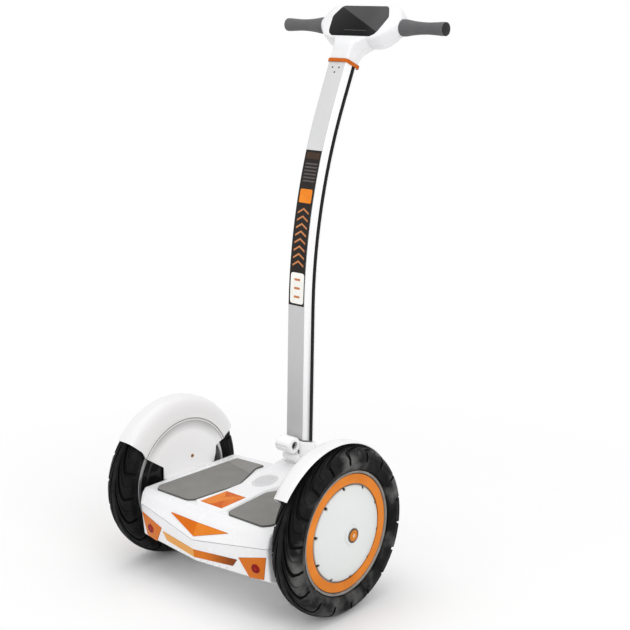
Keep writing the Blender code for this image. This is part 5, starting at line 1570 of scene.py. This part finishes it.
# %% Three screws under the collar
STEEL = moulded(
    "satin_steel", (168, 168, 170), (150, 150, 153), (0.25, 0.4), drift=150.0, Metallic=0.95,
)
DARK_SCREW = moulded(
    "dark_screw", (92, 88, 96), (78, 74, 82), (0.35, 0.5), drift=150.0, Metallic=0.6,
)
for i, (x, below) in enumerate(((-0.009, 0.016), (0.009, 0.016), (0.0, 0.027))):
    place = mast_place(MAST_LENGTH - below)
    head = moved(rod(0.0019, (x, -0.0007, 0), (x, 0.0008, 0), 20), place)
    socket = moved(rod(0.0008, (x, -0.002, 0), (x, -0.0002, 0), 6), place)
    screw = edged(head, 0.0003, 2, socket)
    add_piece("mast_screw_%d" % (i + 1), screw, DARK_SCREW, "mast", "steel")

# %% [markdown]
# ## Mast foot
#
# The mast stands in a cast sleeve, and a round barrel lies across behind it with a bolt
# in its end that clamps the tube. Sleeve, barrel and pivot knuckle are one casting, so
# they are joined into one skin before the bores are cut.

# %% Cast foot
PIVOT_Z = 0.215
BARREL_Y, BARREL_Z, BARREL_R, BARREL_HALF = 0.1185, 0.2785, 0.0185, 0.0215
SLEEVE = [(0.1353, 0.2385), (0.1897, 0.2385), (0.1897, 0.269), (0.1353, 0.285)]
FOOT_NECK = [(0.125, 0.2385), (0.14, 0.2385), (0.14, 0.2555), (0.1225, 0.252)]
SLEEVE_HALF, NECK_HALF = 0.0285, 0.0205
NECK_HOLLOW = ((-NECK_HALF, 0.13, 0.2545), (NECK_HALF, 0.1385, 0.264))
KNUCKLE = ((-0.018, 0.134, PIVOT_Z), (0.018, 0.176, 0.26))
slot_y = BARREL_Y - BARREL_R
CLAMP_SLOT = (
    (-0.019, slot_y - 0.002, BARREL_Z - 0.0007), (0.014, slot_y + 0.004, BARREL_Z + 0.0007),
)
PIN_HOLE = (0.0026, (-0.014, 0.112, 0.293), (-0.014, 0.112, 0.31), 20)
SLEEVE_SEAM = ((0.0275, 0.177, 0.243), (0.03, 0.1782, 0.27))
SEAL_BAND = [(0.13, 0.2866), (0.1715, 0.2744), (0.1715, 0.2766), (0.13, 0.2898)]


def prism(side_view, half_width):
    """A side view, as (y, z) points, carried across the machine."""
    return loft([[(x, *point) for point in side_view] for x in (-half_width, half_width)])


def barrel_rod(radius, start_x, end_x, steps=32):
    return rod(radius, (start_x, BARREL_Y, BARREL_Z), (end_x, BARREL_Y, BARREL_Z), steps)


def pivot_rod(radius, start_y, end_y, steps):
    return rod(radius, (0, start_y, PIVOT_Z), (0, end_y, PIVOT_Z), steps)


def foot_shade(face):
    """The hollow behind the neck is grey, as painted shade, and all else is white."""
    x, y, z = face.center
    return int(0.1355 < y < 0.14 and 0.254 < z < 0.2645 and abs(x) < 0.0206)


foot = rough(prism(SLEEVE, SLEEVE_HALF))
bevel(foot, 0.005, 4)
bevel(shape(foot, prism(FOOT_NECK, NECK_HALF)), 0.002, 3)
cut(foot, block(*NECK_HOLLOW))
bevel(shape(foot, barrel_rod(BARREL_R, -BARREL_HALF, BARREL_HALF, 72)), 0.003, 4)
shape(foot, block(*KNUCKLE))
shape(foot, pivot_rod(0.0245, 0.134, 0.176, 40))
cut(foot, pivot_rod(0.0054, 0.1, 0.2, 24), round_mast(-0.0006, 0.06, 0.0012, 0.0012, 0.0006))
cut(foot, barrel_rod(0.0092, 0.012, 0.04), block(*CLAMP_SLOT), rod(*PIN_HOLE), block(*SLEEVE_SEAM))
FOOT_WHITE = moulded(
    "cast_foot_white", (252, 252, 252), (250, 250, 251), (0.3, 0.34), drift=20.0, specular=0.4,
)
# The hollow behind the neck is painted grey: painted shade.
HOLLOW_SHADE = moulded("foot_hollow_painted_shade", (112, 112, 114), (100, 100, 102), (0.5, 0.6))
add_piece(
    "cast_mast_foot", settle(foot), [FOOT_WHITE, HOLLOW_SHADE], "mast", "white_shell",
    ["mast_socket"], angle=28, rule=foot_shade,
)

# %% Seal and bolt of the foot
# The grey seal round the mast's foot is a dark band where the barrel's shade falls: painted shade.
FOOT_SEAL_SHADE = moulded("foot_seal_painted_shade", (112, 112, 114), (98, 98, 100), (0.5, 0.6))
seal = rough(round_mast(0.008, 0.04, 0.0018, 0.0018, 0.0014, 0.0045))
shape(seal, prism(SEAL_BAND, 0.04), "INTERSECT")
cut(seal, round_mast(-0.0006, 0.06, 0.0004, 0.0004, 0.0004))
add_piece("mast_foot_shade_seal", settle(seal), FOOT_SEAL_SHADE, "mast", "black_plastic")
bolt = edged(barrel_rod(0.0084, 0.0122, 0.017, 40), 0.0008, 3, barrel_rod(0.0042, 0.0145, 0.029, 6))
add_piece("barrel_bolt", bolt, DARK_SCREW, "mast", "steel", ["clamp_bolt"])

# %% [markdown]
# ## Head
#
# The head is drawn in the display's own frame: X across, Y up the display and Z out of
# it. Sections are set out from the middle to where each grip begins, a smooth curve is
# run through them, and the casing is closed over the rows. The neck is a second set of
# sections that flare from the collar into the head. Both are hollow, and a cut in the
# handlebar's plane makes the two halves.

# %% Head sections
BAR_PLACE = shift(0, 0.375, 1.177) @ Matrix.Rotation(math.radians(48.0), 4, "X")
HEAD_SECTIONS = [
    (0.056, -0.05, 0.045, 0.0232, -0.0268, 0.007, 0.018),
    (0.074, -0.045, 0.0445, 0.0232, -0.0262, 0.007, 0.017),
    (0.088, -0.034, 0.042, 0.0222, -0.0245, 0.009, 0.016),
    (0.099, -0.024, 0.033, 0.0205, -0.0215, 0.013, 0.017),
    (0.108, -0.0182, 0.0182, 0.0182, -0.0182, 0.0182, 0.0182),
]
NECK_SECTIONS = [
    (-0.1054, 0.0222, -0.0918, -0.0198, 0.0258, 0.007),
    (-0.09, 0.0272, -0.08, -0.02, 0.0258, 0.008),
    (-0.074, 0.0325, -0.068, -0.021, 0.027, 0.009),
    (-0.059, 0.0292, -0.056, -0.022, 0.036, 0.009),
    (-0.043, 0.0222, -0.042, -0.023, 0.05, 0.009),
]
NECK_LEAN = math.radians(18.0)
NECK_WAY = Vector((0, math.cos(NECK_LEAN), math.sin(NECK_LEAN)))
HEAD_WALL = 0.003


def soft_corners(low, high, low_round, high_round, steps):
    """A section with round corners: those on its high side take high_round."""
    corners = (
        (0, high[0], 1, high[1], 1, high_round), (90, low[0], -1, high[1], 1, high_round),
        (180, low[0], -1, low[1], -1, low_round), (270, high[0], 1, low[1], -1, low_round),
    )
    found = []
    for start, x, along, y, across, radius in corners:
        centre = (x - along * radius, y - across * radius)
        found += arc(centre, radius, start + 1, start + 89, steps)
    return found


def head_mesh(inset, steps, per_span):
    rings = []
    for x, low, high, rear, front, rear_round, front_round in flowing(HEAD_SECTIONS, per_span):
        section = soft_corners(
            (low + inset, front + inset), (high - inset, rear - inset),
            max(front_round - inset, 0.002), max(rear_round - inset, 0.002), steps,
        )
        reach = min(x, HEAD_SECTIONS[-1][0] - inset)
        rings.append([(reach, *point) for point in section])
    left = [[(-x, up, out) for x, up, out in ring] for ring in rings[::-1]]
    return loft(left + rings)


def neck_mesh(inset, steps, per_span):
    rings = []
    for rear_up, rear_out, front_up, front_out, half, radius in flowing(NECK_SECTIONS, per_span):
        rear, front = Vector((rear_up, rear_out)), Vector((front_up, front_out))
        deep = (front - rear).length
        section = soft_corners(
            (inset, inset - half), (deep - inset, half - inset), radius - inset, radius - inset,
            steps,
        )
        forward = (front - rear) / deep
        rings.append([Vector((across, *(rear + forward * along))) for along, across in section])
    if inset:
        rings[0] = [point + NECK_WAY * inset for point in rings[0]]
        rings[-1] = [point + Vector((0, inset, 0)) for point in rings[-1]]
    return loft(rings)


print("head", 2 * HEAD_SECTIONS[-1][0], "m wide without its grips")

# %% Head halves
DISPLAY_RIGHT = [
    (0.053, -0.0445), (0.0625, -0.0385), (0.0675, -0.03), (0.0775, 0.007), (0.077, 0.011),
    (0.0665, 0.033), (0.06, 0.0385),
]
DISPLAY = rounded(DISPLAY_RIGHT + mirrored(DISPLAY_RIGHT), 0.003, 4)
GLASS_OUT, GLASS_THICK = 0.0238, 0.0018
HEAD_SPLIT, SPLIT_HALF = -0.004, 0.00015


def head_half(low_out, high_out, *more_cuts):
    half = rough(head_mesh(0.0, 6, 4))
    shape(half, neck_mesh(0.0, 5, 3))
    cut(
        half, head_mesh(HEAD_WALL, 3, 2), neck_mesh(HEAD_WALL, 2, 2),
        rod(0.0104, (-0.2, 0, 0), (0.2, 0, 0)),
        moved(mast_bore(0.002, 0.014), BAR_PLACE.inverted()),
    )
    shape(half, block((-0.2, -0.3, low_out), (0.2, 0.2, high_out)), "INTERSECT")
    cut(half, *more_cuts)
    return settle(half)


HEAD_WHITE = moulded(
    "head_gloss_white", (232, 232, 233), (229, 229, 231), (0.24, 0.28), drift=12.0, specular=0.4,
    Coat_Weight=0.1, Coat_Roughness=0.06,
)
glass_pocket = plate(offset_line(DISPLAY, 0.0004), 0.02)
glass_pocket = moved(glass_pocket, shift(0, 0, GLASS_OUT - GLASS_THICK - 0.0003))
for name, mesh in (
    ("rear", head_half(HEAD_SPLIT + SPLIT_HALF, 0.2, glass_pocket)),
    ("front", head_half(-0.2, HEAD_SPLIT - SPLIT_HALF)),
):
    add_piece(
        "head_casing_" + name, mesh, HEAD_WHITE, "mast", "white_shell", ["head_" + name],
        at=BAR_PLACE, angle=26,
    )

# %% [markdown]
# ## Display
#
# The display is a black glass with a paler zone above a slanting line: a painted
# reflection. The finish finds that line from the piece's own coordinates, so it needs
# no picture. A smooth, faintly glossy shader over the colours stands for the glass.

# %% Display glass
glass = Finish("display_glass_black", Specular_IOR_Level=0.12)
past_line = glass.maths("DOT_PRODUCT", glass.place, (0.46, 0.89, 0.0), kind="VectorMath")
# Above the slanting line the glass is paler: a painted reflection.
painted_reflection = glass.between(past_line, start=0.0016, end=0.0024)
tone = glass.blend(painted_reflection, glass.drift(14.0, (10, 10, 11), (7, 7, 8)), (70, 70, 71))
GLASS = glass.done(tone, glass.uneven(30.0, 0.1, 0.18, 2.0), glass.noise(60.0), 0.00001)
add_piece(
    "display_window", plate(DISPLAY, GLASS_THICK, 0.0005, 3), GLASS, "mast", "display_black",
    ["display_glass"], at=BAR_PLACE @ shift(0, 0, GLASS_OUT - GLASS_THICK),
)
add_piece(
    "display_line_print", plate(bar_shape(0.006, -0.0297, 0.062, 0.0011), 0.00012),
    PRINT["grey"], "mast", "display_black", at=BAR_PLACE @ shift(0, 0, GLASS_OUT + 0.00004),
)

# %% Grips
GRIP_RUBBER = moulded(
    "grip_soft_grey", (94, 94, 95), (86, 86, 88), (0.55, 0.7), drift=30.0, grain=900.0,
    depth=0.00005, specular=0.35,
)
CAP_RUBBER = moulded(
    "grip_end_dark", (44, 44, 45), (36, 36, 37), (0.5, 0.65), drift=60.0, specular=0.2,
)
GRIP_OUTER = flowing([
    (0.0183, 0.1093), (0.0181, 0.119), (0.0158, 0.134), (0.0136, 0.155),
    (0.0128, 0.178), (0.0136, 0.196), (0.0145, 0.212), (0.0146, 0.22),
], 5)
GRIP_LINE = [
    (0.0106, 0.1093), (0.0175, 0.1093), *GRIP_OUTER[1:], (0.0143, 0.2205), (0.0106, 0.2205),
]
CAP_R, CAP_FROM, CAP_RISE = 0.0145, 0.2214, 0.0026
CAP_LINE = [(0.0, 0.2182), (0.0074, 0.2182), (0.0074, 0.2208), (0.0143, 0.2208), (CAP_R, CAP_FROM)]
for turn in (0.3, 0.6, 0.9, 1.2, 1.4):
    CAP_LINE.append((CAP_R * math.cos(turn) ** 0.6, CAP_FROM + CAP_RISE * math.sin(turn)))
CAP_LINE.append((0.0, 0.224))
for side, sign in SIDES:
    place = BAR_PLACE @ Matrix.Rotation(sign * math.pi / 2, 4, "Y")
    grip, end = lathe(GRIP_LINE, 64), lathe(CAP_LINE, 64, closed=False)
    add_side(side, "soft_grip", grip, GRIP_RUBBER, "mast", "grip_rubber", "grip", at=place)
    add_side(side, "grip_end", end, CAP_RUBBER, "mast", "black_rubber", "grip_cap", at=place)

# %% [markdown]
# ## Solids that keep their shape
#
# The inner works and a few plain pieces are already true to shape, so they only get a
# finish. Each kind of material has its own: drawn metal is streaked along its length,
# a circuit board is mottled green, and rubber is dull.

# %% Finishes for the inner works


def streaked(name, first, second, metallic):
    made = Finish(name, Metallic=metallic)
    grain = made.noise(30.0, 4.0, (40, 1, 40))
    colour = made.blend(made.between(grain), first, second)
    return made.done(colour, made.uneven(60.0, 0.3, 0.45), grain, 0.00004)


CARRIED = {
    "aluminium": streaked("drawn_aluminium", (196, 198, 202), (178, 180, 184), 0.9),
    "steel": STEEL,
    "black_plastic": moulded("inner_black_plastic", (30, 30, 32), (22, 22, 24), (0.4, 0.55)),
    "black_rubber": moulded("inner_black_rubber", (34, 34, 34), (26, 26, 26), (0.65, 0.8)),
    "copper_winding": streaked("copper_wire", (184, 106, 62), (160, 88, 50), 0.85),
    "circuit_board": moulded("board_green", (30, 92, 58), (24, 76, 48), (0.3, 0.5), drift=80.0),
    "battery_wrap": moulded("battery_blue", (44, 84, 146), (36, 70, 124), (0.25, 0.35), drift=20.0),
}
print("inner finishes:", len(CARRIED))

# %% Dress the carried solids
KEPT = {
    "aluminium": "chassis_frame heat_sink handlebar_tube stem_insert pivot_bracket",
    "steel": "axle_right axle_left pivot_pin centring_spring",
    "black_plastic": "speaker foot_switch_right foot_switch_left lean_sensor charge_socket",
    "black_rubber": "charge_cap mast_cable",
    "copper_winding": "stator_right stator_left",
    "circuit_board": "control_board display_board",
    "battery_wrap": "battery_pack",
}
for kind, names in KEPT.items():
    for name in names.split():
        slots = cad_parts[name].data.materials
        slots.clear()
        slots.append(CARRIED[kind])
    print(kind, "for", names)
